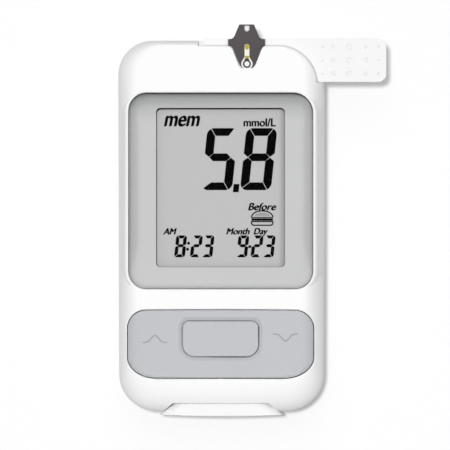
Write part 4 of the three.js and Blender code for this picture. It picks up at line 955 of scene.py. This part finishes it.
def ink_object(name, outlines):
    """Printed or etched plates on the display's glass, one for each outline, as one object."""
    corners, faces = [], []
    for outline in outlines:
        sides = zip(outline, outline[1:] + outline[:1])
        area = sum(x0 * y1 - x1 * y0 for (x0, y0), (x1, y1) in sides)
        outline = outline if area > 0 else outline[::-1]
        here = range(len(corners), len(corners) + len(outline))
        above = [i + len(outline) for i in here]
        pairs = list(zip(here, above))
        faces += [(low, low_after, high_after, high)
                  for (low, high), (low_after, high_after) in zip(pairs, pairs[1:] + pairs[:1])]
        faces += [tuple(reversed(here)), tuple(above)]
        corners += level(outline, lcd_top + INK_LOW) + level(outline, lcd_top + INK_HIGH)
    return to_object(name, corners, faces)


# %% Set the digits and points on the display
LARGE = Sizes(y=8.93, width=7.5, high=15.0, bar=1.86, gap=0.15)
SMALL = Sizes(y=-7.34, width=2.62, high=5.3, bar=0.74, gap=0.11)
DIGITS = [("large_5", "5", -4.79, LARGE), ("large_8", "8", 4.65, LARGE),
          ("hour_8", "8", -11.33, SMALL), ("minute_2", "2", -7.5, SMALL),
          ("minute_3", "3", -4.68, SMALL), ("month_9", "9", 3.75, SMALL),
          ("day_2", "2", 7.2, SMALL), ("day_3", "3", 10.15, SMALL)]


def slanted(outline, x, y):
    return [(x + across + SLANT * up, y + up) for across, up in outline]


def digit(name, figure, x, size):
    outlines = bar_outlines(size.width, size.high, size.bar, size.gap)
    bars = [slanted(outlines[bar], x, size.y) for bar in BAR_SETS[figure]]
    return ink_object("digit_" + name, bars)


def slanted_box(x, y, width, high):
    return slanted([(0, 0), (width, 0), (width, high), (0, high)], x, y)


display_marks = [digit(*row) for row in DIGITS]
display_marks.append(ink_object("digit_points", [
    slanted_box(2.93, 8.43, 1.4, 1.98),
    disc_outline(-7.82, -3.93, 0.35), disc_outline(-8.05, -5.4, 0.35),
    slanted_box(6.66, -5.05, 0.7, 0.6),
]))
print(len(display_marks), "groups of bars and points")

# %% [markdown]
# The plain words beside the digits use Blender's own built-in typeface. Text starts as a curve,
# is given a little thickness and leaned, and is then turned into a mesh and scaled into its
# place, so that a different typeface would still fit the same spot. A few copies, each set a hair
# to the side, make the strokes bolder.

# %% Set the words on the display
WORDS = [
    ("mem", -13.8, -5.0, 24.3, 27.0, 0.25, 0.34),
    ("mmol/L", 5.5, 13.35, 24.3, 26.35, 0.0, 0.2),
    ("Before", 6.6, 13.45, 4.0, 5.85, 0.25, 0.22),
    ("AM", -14.0, -10.65, -1.85, -0.25, 0.25, 0.22),
    ("Month", 1.3, 7.05, -1.85, -0.25, 0.25, 0.22),
    ("Day", 7.95, 11.45, -2.3, -0.25, 0.25, 0.22),
]
BOLD_COPIES, COPY_RISE = 4, 0.004
TEXT_THICK, WELD = 0.5, 1e-5


def word(text, left, right, bottom, top, lean, weight):
    """The text in that box, leaned, with strokes that are bolder by weight."""
    curve = bpy.data.curves.new("word", "FONT")
    curve.body, curve.shear, curve.extrude = text, lean, TEXT_THICK
    setting = place("word", curve)
    bpy.context.view_layer.update()
    graph = bpy.context.evaluated_depsgraph_get()
    mesh = bpy.data.meshes.new_from_object(setting.evaluated_get(graph))
    bpy.data.objects.remove(setting)
    shape = bmesh.new()
    shape.from_mesh(mesh)
    bmesh.ops.remove_doubles(shape, verts=shape.verts, dist=WELD)
    low = [min(v.co[axis] for v in shape.verts) for axis in range(3)]
    size = [max(v.co[axis] for v in shape.verts) - low[axis] for axis in range(3)]
    box = [(left, right - weight), (bottom, top - weight / 2),
           (lcd_top + INK_LOW, lcd_top + INK_HIGH)]
    for v in shape.verts:
        v.co = [MM * (start + (end - start) * (along - least) / span)
                for along, least, span, (start, end) in zip(v.co, low, size, box)]
    letters = shape.verts[:] + shape.edges[:] + shape.faces[:]
    for i in range(1, BOLD_COPIES):
        shift = Vector((weight, weight / 2, COPY_RISE)) * (MM * i / (BOLD_COPIES - 1))
        twin = bmesh.ops.duplicate(shape, geom=letters)["geom"]
        corners = [part for part in twin if isinstance(part, bmesh.types.BMVert)]
        bmesh.ops.translate(shape, vec=shift, verts=corners)
    shape.to_mesh(mesh)
    shape.free()
    return place("word_" + text.replace("/", "_"), mesh)


display_marks += [word(*row) for row in WORDS]
print("words", [row[0] for row in WORDS])

# %% [markdown]
# Between the words and the date stands a small sign for a meal. This one is a plain bun of our
# own drawing: a lid as an arch with a few seeds, a filled layer and a rounded foot.

# %% Draw the meal sign
MEAL = Sizes(x=10.04, half=2.6, lid_y=2.3, lid_high=1.62, line=0.3,
             bun_y=0.42, bun_high=0.98, bun_corner=0.6)
LAYERS = [(2.2, 0.22), (1.5, 0.6), (1.16, 0.27)]
SEED_ROWS = [(0.5, 9, 1.6), (0.78, 8, 1.4), (1.04, 5, 0.8)]
SEED, SEED_SIDES = 0.1, 8
left, right, corner = MEAL.x - MEAL.half, MEAL.x + MEAL.half, MEAL.bun_corner
rise, brim = MEAL.bun_y + corner, MEAL.bun_y + MEAL.bun_high

lid = arc(MEAL.x, MEAL.lid_y, MEAL.half, MEAL.lid_high, 0, turn=2 * QUARTER)
foot = [(left, brim)] + arc(left + corner, rise, corner, corner, 2 * QUARTER)
foot += arc(right - corner, rise, corner, corner, 3 * QUARTER) + [(right, brim)]
layers = [[(left, y), (right, y), (right, y + high), (left, y + high)] for y, high in LAYERS]
seeds = [disc_outline(MEAL.x + half * (2 * i / (count - 1) - 1), MEAL.lid_y + up, SEED, SEED_SIDES)
         for up, count, half in SEED_ROWS for i in range(count)]
lines = [stroke(line, MEAL.line) for line in (lid, foot)]
display_marks.append(ink_object("meal_sign", seeds + layers + lines))
print("meal sign with", len(seeds), "seeds")

# %% [markdown]
# The pane's edge is printed with a thin dark line, which covers the edge of the display below it.
# At the top it is widened into a painted shadow of the bezel's edge, so it is widest there.

# %% Print the line round the window, widened at the top as painted shadow
# LINE.top is the wider part at the top: painted shadow of the bezel's edge.
LINE = Sizes(top=0.3, side=0.09, bottom=0.06, thick=0.03)


def window_line():
    low = pane_zs[1] + AIR
    high = low + LINE.thick
    inner = panel(window["left"] + LINE.side, window["right"] - LINE.side,
                  window["bottom"] + LINE.bottom, window["top"] - LINE.top,
                  corner=window["corner"])
    return carve(prism("window_line", panel_outline(window, -AIR), low, high),
                 prism("inner", panel_outline(inner), low - BEYOND, high + BEYOND))


border = window_line()
print("the window's line has", len(border.data.polygons), "faces")

# %% [markdown]
# ## Each piece takes its place in the assembly
# A new piece moves with the body it belongs to, and it stands for the plain solid that it was
# made from. The marks on the display belong to the housing, the arrows to the rocker, and the
# printed rings to the strip, so that every mark moves with the thing it is printed on.

# %% Let each piece ride on its body
PIECES = [
    (front_housing, "housing", "housing_white", ["front_housing"]),
    (rear_housing, "housing", "housing_white", ["rear_housing"]),
    (door, "battery_door", "housing_white", ["battery_cover"]),
    (display_bezel, "housing", "bezel_grey", ["display_bezel"]),
    (rocker, "rocker", "key_grey", ["rocker_key"]),
    (centre_button, "select_button", "key_grey", ["centre_button"]),
    (strip, "strip", "strip_white", ["test_strip"]),
    (label, "strip", "label_dark", ["strip_label"]),
    (white_ring, "strip", "strip_white", []),
    (dark_disc, "strip", "label_dark", []),
    (white_dot, "strip", "strip_white", []),
    (electrode_tip, "strip", "electrode_gold", []),
    (border, "housing", "lcd_grey", []),
    (gap_shade_strip, "housing", "bezel_grey", []),
]
PIECES += [(piece, "rocker", "key_grey", []) for piece in arrows.values()]
PIECES += [(piece, "housing", "lcd_grey", []) for piece in display_marks]
for piece, body, slot_name, nodes in PIECES:
    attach(piece, body)
    if nodes:
        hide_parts(*nodes)
print(len(PIECES), "pieces ride on", sorted({row[1] for row in PIECES}))

# %% [markdown]
# ## Smooth shading
# A moulded surface is smooth, but its mesh is made of small flat faces. Shading them as one
# surface hides the faces, and edges steeper than a chosen angle stay crisp. The weighted normals
# modifier then lets the large faces decide the shading, so that narrow fillets don't bend the
# light on the flat areas beside them.

# %% Shade the pieces smooth
CRISP_ANGLE = math.radians(32)


def shade_smooth(piece):
    mesh = piece.data
    mesh.polygons.foreach_set("use_smooth", [True] * len(mesh.polygons))
    mesh.set_sharp_from_angle(angle=CRISP_ANGLE)
    weighted = piece.modifiers.new("weighted", "WEIGHTED_NORMAL")
    weighted.mode, weighted.keep_sharp = "FACE_AREA", True


for piece, *_ in PIECES:
    shade_smooth(piece)
print(len(PIECES), "pieces shaded smooth")

# %% [markdown]
# ## Finishes
# A finish is a small graph of nodes. It starts from where a point lies on the piece, turns that
# into fine noise or stripes, and feeds them to colour, roughness and bump. Short helpers keep the
# graphs readable: the first gives a colour as a screen shows it, the next start a material and
# add a node to it, and the others are pairs of nodes that many finishes share. Where a corner
# sees little of the sky, one helper darkens its colour with painted shade, which the ambient
# occlusion node measures.

# %% Helpers for the finishes
WHITE = (1.0, 1.0, 1.0, 1.0)
NOISE_SPAN = (0.3, 0.7)


def paint(red, green, blue):
    """A colour as a screen shows it, 0 to 255, in the linear form that shaders use."""
    return tuple(((part / 255 + 0.055) / 1.055) ** 2.4 for part in (red, green, blue)) + (1.0,)


def start(name, kind=bpy.data.materials):
    material = kind.new(name)
    material.use_nodes = True
    material.node_tree.nodes.clear()
    return material


def add(material, kind, settings=None, **sockets):
    """Adds a node. Its sockets go by their labels with _ for a space, or by place as in0, in1."""
    tree = material.node_tree
    made = tree.nodes.new("ShaderNode" + kind)
    for key, value in (settings or {}).items():
        setattr(made, key, value)
    for key, value in sockets.items():
        socket = made.inputs[int(key[2:]) if key[2:].isdigit() else key.replace("_", " ")]
        if isinstance(value, bpy.types.NodeSocket):
            tree.links.new(value, socket)
        else:
            socket.default_value = value
    return made.outputs


def reckon(material, operation, *values):
    """Reckons with numbers or with what other nodes give, in a way such as ADD or POWER."""
    sockets = {f"in{i}": value for i, value in enumerate(values)}
    return add(material, "Math", {"operation": operation}, **sockets)[0]


def noise(material, size, detail=2.0, where=None):
    """Noise whose blotches are about size millimetres wide on the piece."""
    where = where or add(material, "TexCoord")["Object"]
    return add(material, "TexNoise", Vector=where, Scale=1 / (size * MM), Detail=detail)["Fac"]


def between(material, factor, low, high, start_at=0.0, end_at=1.0):
    return add(material, "MapRange", Value=factor, From_Min=start_at, From_Max=end_at,
               To_Min=low, To_Max=high)["Result"]


def zoned(material, axis, low, high, start_at, end_at):
    """A value that goes from low to high between two places along X or Y, in millimetres."""
    along = add(material, "SeparateXYZ", Vector=add(material, "TexCoord")["Object"])[axis]
    return between(material, along, low, high, start_at * MM, end_at * MM)


def mixed(material, factor, first, second, way="MIX"):
    settings = {"data_type": "RGBA", "blend_type": way}
    return add(material, "Mix", settings, in0=factor, in6=first, in7=second)[2]


def painted_shade_drift(material, shade, axis, start_at, end_at, colour):
    """A colour that drifts to another colour, a painted shade, between two places along X or Y."""
    share = zoned(material, axis, 0.0, 1.0, start_at, end_at)
    return mixed(material, share, shade, paint(*colour))


def painted_occlusion(material, shade, reach, power):
    """Paints shade into a colour where walls within reach metres hide a part of the sky."""
    open_sky = add(material, "AmbientOcclusion", {"samples": 12}, Distance=reach)["AO"]
    return mixed(material, 1.0, shade, reckon(material, "POWER", open_sky, power), "MULTIPLY")


def relief(material, height, deep, edge=0.0):
    """A bump of deep millimetres, over edges that look rounded to edge millimetres."""
    sockets = {}
    if edge:
        sockets["Normal"] = add(material, "Bevel", {"samples": 4}, Radius=edge * MM)["Normal"]
    return add(material, "Bump", Height=height, Distance=deep * MM, **sockets)["Normal"]


def close(material, **sockets):
    shader = add(material, "BsdfPrincipled", **sockets)["BSDF"]
    add(material, "OutputMaterial", Surface=shader)
    return material


# %% [markdown]
# Moulded plastic is never quite even. The tool leaves a fine spark texture, the pigment drifts a
# little over the part, and polished spots are a shade smoother. All the housings, the bezel and
# the keys are such mouldings and differ only in colour, gloss and coarseness, so one function
# makes them all. Their real edges have radii of a tenth of a millimetre, which the bevel node
# gives.

# %% Moulded plastics
PIGMENT_DRIFT, SPECKLES, SPECKLE_GREY = 14.0, (0.0, 0.06, 0.35, 0.75), (128, 128, 130)
# Zones along Y, in millimetres, where the reach and power of the bezel's painted shade change.
COVE_LOW, COVE_HIGH = (-14.0, -4.0), (28.0, 31.5)
REACH_FOOT, REACH_SIDE, REACH_TOP = 0.3 * MM, 2.2 * MM, 0.9 * MM


def moulded(name, colour, drift, gloss, grain, deep, edge=0.12, hollow=None, far=None):
    """colour and drift are the two shades, gloss the lowest and highest roughness.

    hollow gives the power of the painted shade, from ambient occlusion, in the coves at the sides
    and at the top. far gives the height on the piece, in mm, from which the colour drifts towards a
    third colour as painted shade, the height where it ends, and that colour.
    """
    material = start(name)
    broad, fine = noise(material, PIGMENT_DRIFT, 3.0), noise(material, grain, 2.0)
    shade = mixed(material, broad, paint(*colour), paint(*drift))
    shade = mixed(material, between(material, fine, *SPECKLES), shade, paint(*SPECKLE_GREY))
    # Painted shade: far drifts the colour darker towards the top, and hollow darkens the coves by
    # ambient occlusion.
    if far:
        shade = painted_shade_drift(material, shade, "Y", *far)
    if hollow:
        reach = reckon(material, "ADD", zoned(material, "Y", REACH_FOOT, REACH_SIDE, *COVE_LOW),
                       zoned(material, "Y", 0.0, REACH_TOP, *COVE_HIGH))
        shade = painted_occlusion(material, shade, reach, zoned(material, "Y", *hollow, *COVE_HIGH))
    rough = between(material, fine, *gloss, *NOISE_SPAN)
    return close(material, Base_Color=shade, Roughness=rough,
                 Normal=relief(material, fine, deep, edge))


white_plastic = moulded("white_plastic", (253, 253, 253), (251, 251, 251), (0.42, 0.54),
                        0.22, 0.004)
# The bezel's coves are darkened with painted shade from ambient occlusion, and its top drifts to a
# darker grey as painted shade.
bezel_plastic = moulded("bezel_plastic", (201, 201, 201), (197, 198, 198), (0.42, 0.54), 0.3, 0.005,
                        hollow=(3.0, 7.0), far=(25.5, 32.0, (170, 171, 172)))
key_plastic = moulded("key_plastic", (196, 198, 201), (191, 193, 196), (0.46, 0.58), 0.3, 0.006)
arrow_paint = moulded("arrow_paint", (172, 173, 177), (166, 167, 172), (0.5, 0.6), 0.2, 0.004, 0.05)
holder_plastic = moulded("holder_plastic", (236, 236, 232), (230, 230, 226), (0.5, 0.6), 0.3, 0.008)
black_resin = moulded("black_resin", (38, 38, 40), (32, 32, 34), (0.5, 0.65), 0.18, 0.012)
silicone_rubber = moulded("silicone_rubber", (214, 215, 212), (206, 207, 204), (0.6, 0.72),
                          0.35, 0.01, 0.2)
print("mouldings ready")

# %% [markdown]
# The display's glass has a polarising film with a faint fine grain, and its bars are a flat black
# that mirrors almost nothing. The pane over it is clear plastic with a coating against
# reflections: light passes straight through, apart from the very small part that its outside
# mirrors, more at a flat angle.

# %% The display and its pane
MOTTLE, FILM_REACH, ROUGH_SPAN = 0.25, 0.6 * MM, 0.08


def film(name, colour, second, roughness, grain, deep, gloss=0.5, hollow=None, rim=None):
    """A thin printed or laminated film with an even, fine grain. gloss is the share it mirrors.

    hollow gives the power of the painted shade, from ambient occlusion, in its dimples. rim gives
    where the film starts and ends to darken towards its right edge with a painted shadow, and the
    colour there.
    """
    material = start(name)
    fine = noise(material, grain, 3.0)
    mottled = between(material, fine, 0.0, MOTTLE, *NOISE_SPAN)
    shade = mixed(material, mottled, paint(*colour), paint(*second))
    # Painted shade in hollows, and a painted shadow towards the right edge.
    if hollow:
        shade = painted_occlusion(material, shade, FILM_REACH, hollow)
    if rim:
        shade = painted_shade_drift(material, shade, "X", *rim)
    rough = between(material, fine, roughness, roughness + ROUGH_SPAN)
    return close(material, Base_Color=shade, Roughness=rough, Specular_IOR_Level=gloss,
                 Normal=relief(material, fine, deep))


def clear_pane():
    material = start("clear_pane")
    through = add(material, "BsdfTransparent", Color=(0.985, 0.985, 0.985, 1.0))["BSDF"]
    faint = relief(material, noise(material, 6.0), 0.004)
    mirror = add(material, "BsdfGlossy", Color=WHITE, Roughness=0.08, Normal=faint)["BSDF"]
    back = add(material, "NewGeometry")["Backfacing"]
    share = between(material, back, add(material, "Fresnel", IOR=1.07)["Fac"], 0.0)
    both = add(material, "MixShader", in0=share, in1=through, in2=mirror)["Shader"]
    add(material, "OutputMaterial", Surface=both)
    return material


# The display film darkens towards its right edge: a painted shadow of the bezel's wall.
display_film = film("display_film", (196, 195, 195), (192, 191, 192), 0.35, 0.12, 0.002,
                    rim=(14.0, 15.5, (160, 160, 161)))
display_ink = film("display_ink", (4, 3, 4), (8, 7, 8), 0.6, 0.15, 0.002, gloss=0.02)
clear_window = clear_pane()
# The strip's dimples and hollows are darkened with painted shade from ambient occlusion.
strip_film = film("strip_film", (244, 244, 244), (241, 241, 242), 0.45, 0.35, 0.004, hollow=1.6)
label_film = film("label_film", (84, 79, 81), (77, 73, 75), 0.45, 0.25, 0.003, gloss=0.25)
dark_print = film("dark_print", (74, 72, 72), (68, 66, 66), 0.45, 0.2, 0.002, gloss=0.25)
cream_paper = film("cream_paper", (246, 243, 228), (238, 234, 216), 0.6, 0.2, 0.006)
print("films ready")

# %% [markdown]
# The metals are gold for the strip's electrode and the contacts, and steel for screws, springs,
# battery plates and key domes. Rolled sheet has fine lines along one direction, which a stretched
# noise gives, and they show in roughness and bump.

# %% Metals
ROLLED = (1.0, 18.0, 1.0)


def metal(name, colour, second, gloss):
    material = start(name)
    where = add(material, "TexCoord")["Object"]
    along = add(material, "Mapping", Vector=where, Scale=ROLLED)["Vector"]
    lines = noise(material, 0.9, 4.0, along)
    shade = mixed(material, lines, paint(*colour), paint(*second))
    rough = between(material, lines, *gloss, *NOISE_SPAN)
    return close(material, Base_Color=shade, Metallic=1.0, Roughness=rough,
                 Normal=relief(material, lines, 0.002, 0.05))


gold = metal("gold", (200, 181, 84), (182, 162, 66), (0.25, 0.4))
steel = metal("steel", (208, 208, 210), (186, 187, 190), (0.22, 0.38))
print("metals ready")

# %% [markdown]
# Inside the meter are the printed board, the two striped rubber connectors under the display and
# the two cells. The board's copper tracks show through its green lacquer as slightly paler lines.
# The rubber connectors carry alternate clear and carbon layers. A cell is a steel can in a shrunk
# plastic sleeve that leaves its two ends bare.

# %% The board, the rubber connectors and the cells
TRACK_PITCH, LAYER_PITCH, BARE_END = 2.6, 0.36, 0.475


def lacquered_board():
    material = start("lacquered_board")
    where = add(material, "TexCoord")["Object"]
    tracks = add(material, "TexVoronoi", {"distance": "CHEBYCHEV", "feature": "DISTANCE_TO_EDGE"},
                 Vector=where, Scale=1 / (TRACK_PITCH * MM))["Distance"]
    copper = between(material, tracks, 1.0, 0.0, 0.08, 0.11)
    weave = noise(material, 0.4, 2.0, where)
    lacquer = mixed(material, weave, paint(28, 92, 58), paint(34, 104, 66))
    shade = mixed(material, copper, lacquer, paint(62, 138, 88))
    return close(material, Base_Color=shade, Roughness=between(material, weave, 0.25, 0.38),
                 Normal=relief(material, copper, 0.02, 0.05))


def layered_rubber():
    material = start("layered_rubber")
    across = add(material, "SeparateXYZ", Vector=add(material, "TexCoord")["Object"])["X"]
    turns = reckon(material, "MULTIPLY", across, 4 * QUARTER / (LAYER_PITCH * MM))
    wave = reckon(material, "SINE", turns)
    dark = between(material, wave, 0.0, 1.0, -0.2, 0.2)
    shade = mixed(material, dark, paint(206, 206, 200), paint(44, 44, 46))
    rough = between(material, noise(material, 0.3), 0.5, 0.65)
    return close(material, Base_Color=shade, Roughness=rough, Normal=relief(material, dark, 0.004))


def cell_sleeve():
    material = start("cell_sleeve")
    along = add(material, "SeparateXYZ", Vector=add(material, "TexCoord")["Generated"])["Y"]
    fine = noise(material, 0.5, 3.0)
    from_middle = reckon(material, "ABSOLUTE", reckon(material, "SUBTRACT", along, 0.5))
    bare = reckon(material, "GREATER_THAN", from_middle, BARE_END)
    band = between(material, along, 0.0, 1.0, 0.7, 0.702)
    sleeve = mixed(material, band, paint(52, 56, 62), paint(176, 148, 96))
    shade = mixed(material, bare, sleeve, paint(202, 202, 204))
    return close(material, Base_Color=shade, Metallic=bare,
                 Roughness=between(material, fine, 0.28, 0.42),
                 Normal=relief(material, fine, 0.006, 0.2))


board_lacquer = lacquered_board()
striped_rubber = layered_rubber()
cell_wrap = cell_sleeve()
print("board, rubber and cells ready")

# %% [markdown]
# ## Every piece gets its finish
# A new piece is given its material directly. A node of the frame that stays in view keeps its
# shape and gets a better material in its slots.

# %% Give each piece and each node its finish
def finish(piece, material):
    for slot in piece.material_slots:
        slot.material = material
    if not piece.material_slots:
        piece.data.materials.append(material)


PIECE_FINISHES = {
    white_plastic: [front_housing, rear_housing, door], bezel_plastic: [display_bezel],
    key_plastic: [rocker, centre_button], arrow_paint: list(arrows.values()), black_resin: [gap_shade_strip],
    strip_film: [strip, white_ring, white_dot], label_film: [label], dark_print: [dark_disc],
    gold: [electrode_tip], display_ink: display_marks + [border],
}
NODE_FINISHES = {
    clear_window: ["display_window"], display_film: ["lcd_glass"], holder_plastic: ["lcd_holder"],
    striped_rubber: ["zebra_strip_top", "zebra_strip_bottom"], silicone_rubber: ["keypad_sheet"],
    steel: ["dome_left", "dome_centre", "dome_right", "quartz_crystal", "battery_spring_left",
            "battery_spring_right", "battery_link_plate", "battery_minus_plate",
            "battery_plus_plate", *screws],
    gold: ["connector_contact_1", "connector_contact_2", "connector_contact_3", "strip_electrode"],
    black_resin: ["microcontroller", "radio_module", "buzzer", "strip_connector"],
    board_lacquer: ["main_board"], cream_paper: ["strip_channel"],
    cell_wrap: ["battery_left", "battery_right"],
}
for material, pieces in PIECE_FINISHES.items():
    for piece in pieces:
        finish(piece, material)
for material, names in NODE_FINISHES.items():
    for name in names:
        finish(frame["nodes"][name], material)
plain = [name for name in frame["nodes"] if not frame["nodes"][name].hide_render
         and not any(name in names for names in NODE_FINISHES.values())]
print("nodes in view without a finish", plain)

# %% [markdown]
# ## Light, floor and background
# The light is that of a white tent: a dome of even light from everywhere, one lamp almost
# straight overhead, which gives the narrow shadow at the right and lower edges, and a weaker,
# broad one from beyond the top end, which darkens the slopes that face the viewer's feet. At this
# level a colour renders about as it is written. The background is white where the camera or a
# reflection looks at it. The floor takes the object's shadow, but throws back less light than it
# shows, so that the sides of the meter stay a shade darker than its face.

# %% Light the scene
DOME = 0.35
LAMPS = [("overhead_lamp", 0.63, 3.4, 2.2, 5.0), ("far_lamp", 0.06, 35.0, 0.0, 45.0)]
FLOOR_GREY, FLOOR_BOUNCE, FLOOR_GLOW = 0.8, 0.45, 0.17
HALF_TURN = 2 * QUARTER

for name, share, lean, side, wide in LAMPS:
    lamp = place(name, bpy.data.lights.new(name, "SUN"))
    lamp.data.energy, lamp.data.angle = share * HALF_TURN, math.radians(wide)
    lamp.rotation_euler = (-math.radians(lean), -math.radians(side), 0.0)
    lamp.visible_glossy = False


def seen(material):
    """1 where the camera, a reflection or a clear piece looks at it, and 0 for other light."""
    path = add(material, "LightPath")
    looked_at = path["Is Camera Ray"]
    for other in ("Is Glossy Ray", "Is Transmission Ray"):
        looked_at = reckon(material, "MAXIMUM", looked_at, path[other])
    return looked_at


world = start("studio", bpy.data.worlds)
bpy.context.scene.world = world
strength = between(world, seen(world), DOME, 1.0)
dome = add(world, "Background", Color=WHITE, Strength=strength)
add(world, "OutputWorld", Surface=dome["Background"])
print(len(LAMPS), "lamps and the dome ready")

# %% Lay the floor
FLOOR_HALF, FLOOR_DROP = 1500.0, 0.05


def floor_finish():
    material = start("white_table")
    looked_at = seen(material)
    grey = between(material, looked_at, FLOOR_BOUNCE, FLOOR_GREY)
    matt = add(material, "BsdfDiffuse", Color=grey)["BSDF"]
    glow = between(material, looked_at, 0.0, FLOOR_GLOW)
    lit = add(material, "Emission", Color=WHITE, Strength=glow)["Emission"]
    both = add(material, "AddShader", in0=matt, in1=lit)["Shader"]
    add(material, "OutputMaterial", Surface=both)
    return material


reach = [(x * FLOOR_HALF, y * FLOOR_HALF) for x, y in ((-1, -1), (1, -1), (1, 1), (-1, 1))]
table = to_object("table", level(reach, -FLOOR_DROP), [(0, 1, 2, 3)])
finish(table, floor_finish())
bpy.context.scene.view_settings.view_transform = "Standard"
print("floor ready")

# %% [markdown]
# ## The camera looks straight down
# The photograph was taken from above with a long lens, so the sides of the meter stay narrow. A
# camera far away with a narrow angle does the same. It stands a little to the right of the
# middle.

# %% Set the camera
LENS, SENSOR = 600.0, 36.0
VIEW_WIDE, VIEW_X, VIEW_Y = 108.8, 1.16, 0.48
YAW = math.radians(2.5)
NEAR, FAR = 0.01, 10.0
distance = VIEW_WIDE * MM * LENS / SENSOR
camera = place("camera", bpy.data.cameras.new("camera"))
camera.data.lens, camera.data.sensor_width = LENS, SENSOR
camera.data.clip_start, camera.data.clip_end = NEAR, FAR
centre = MM * Vector((VIEW_X, VIEW_Y, front_z))
direction = Vector((math.sin(YAW), 0.0, math.cos(YAW)))
camera.location = centre + distance * direction
camera.rotation_euler = (0.0, YAW, 0.0)
bpy.context.scene.camera = camera
print(f"the camera stands {distance:.3f} m away")
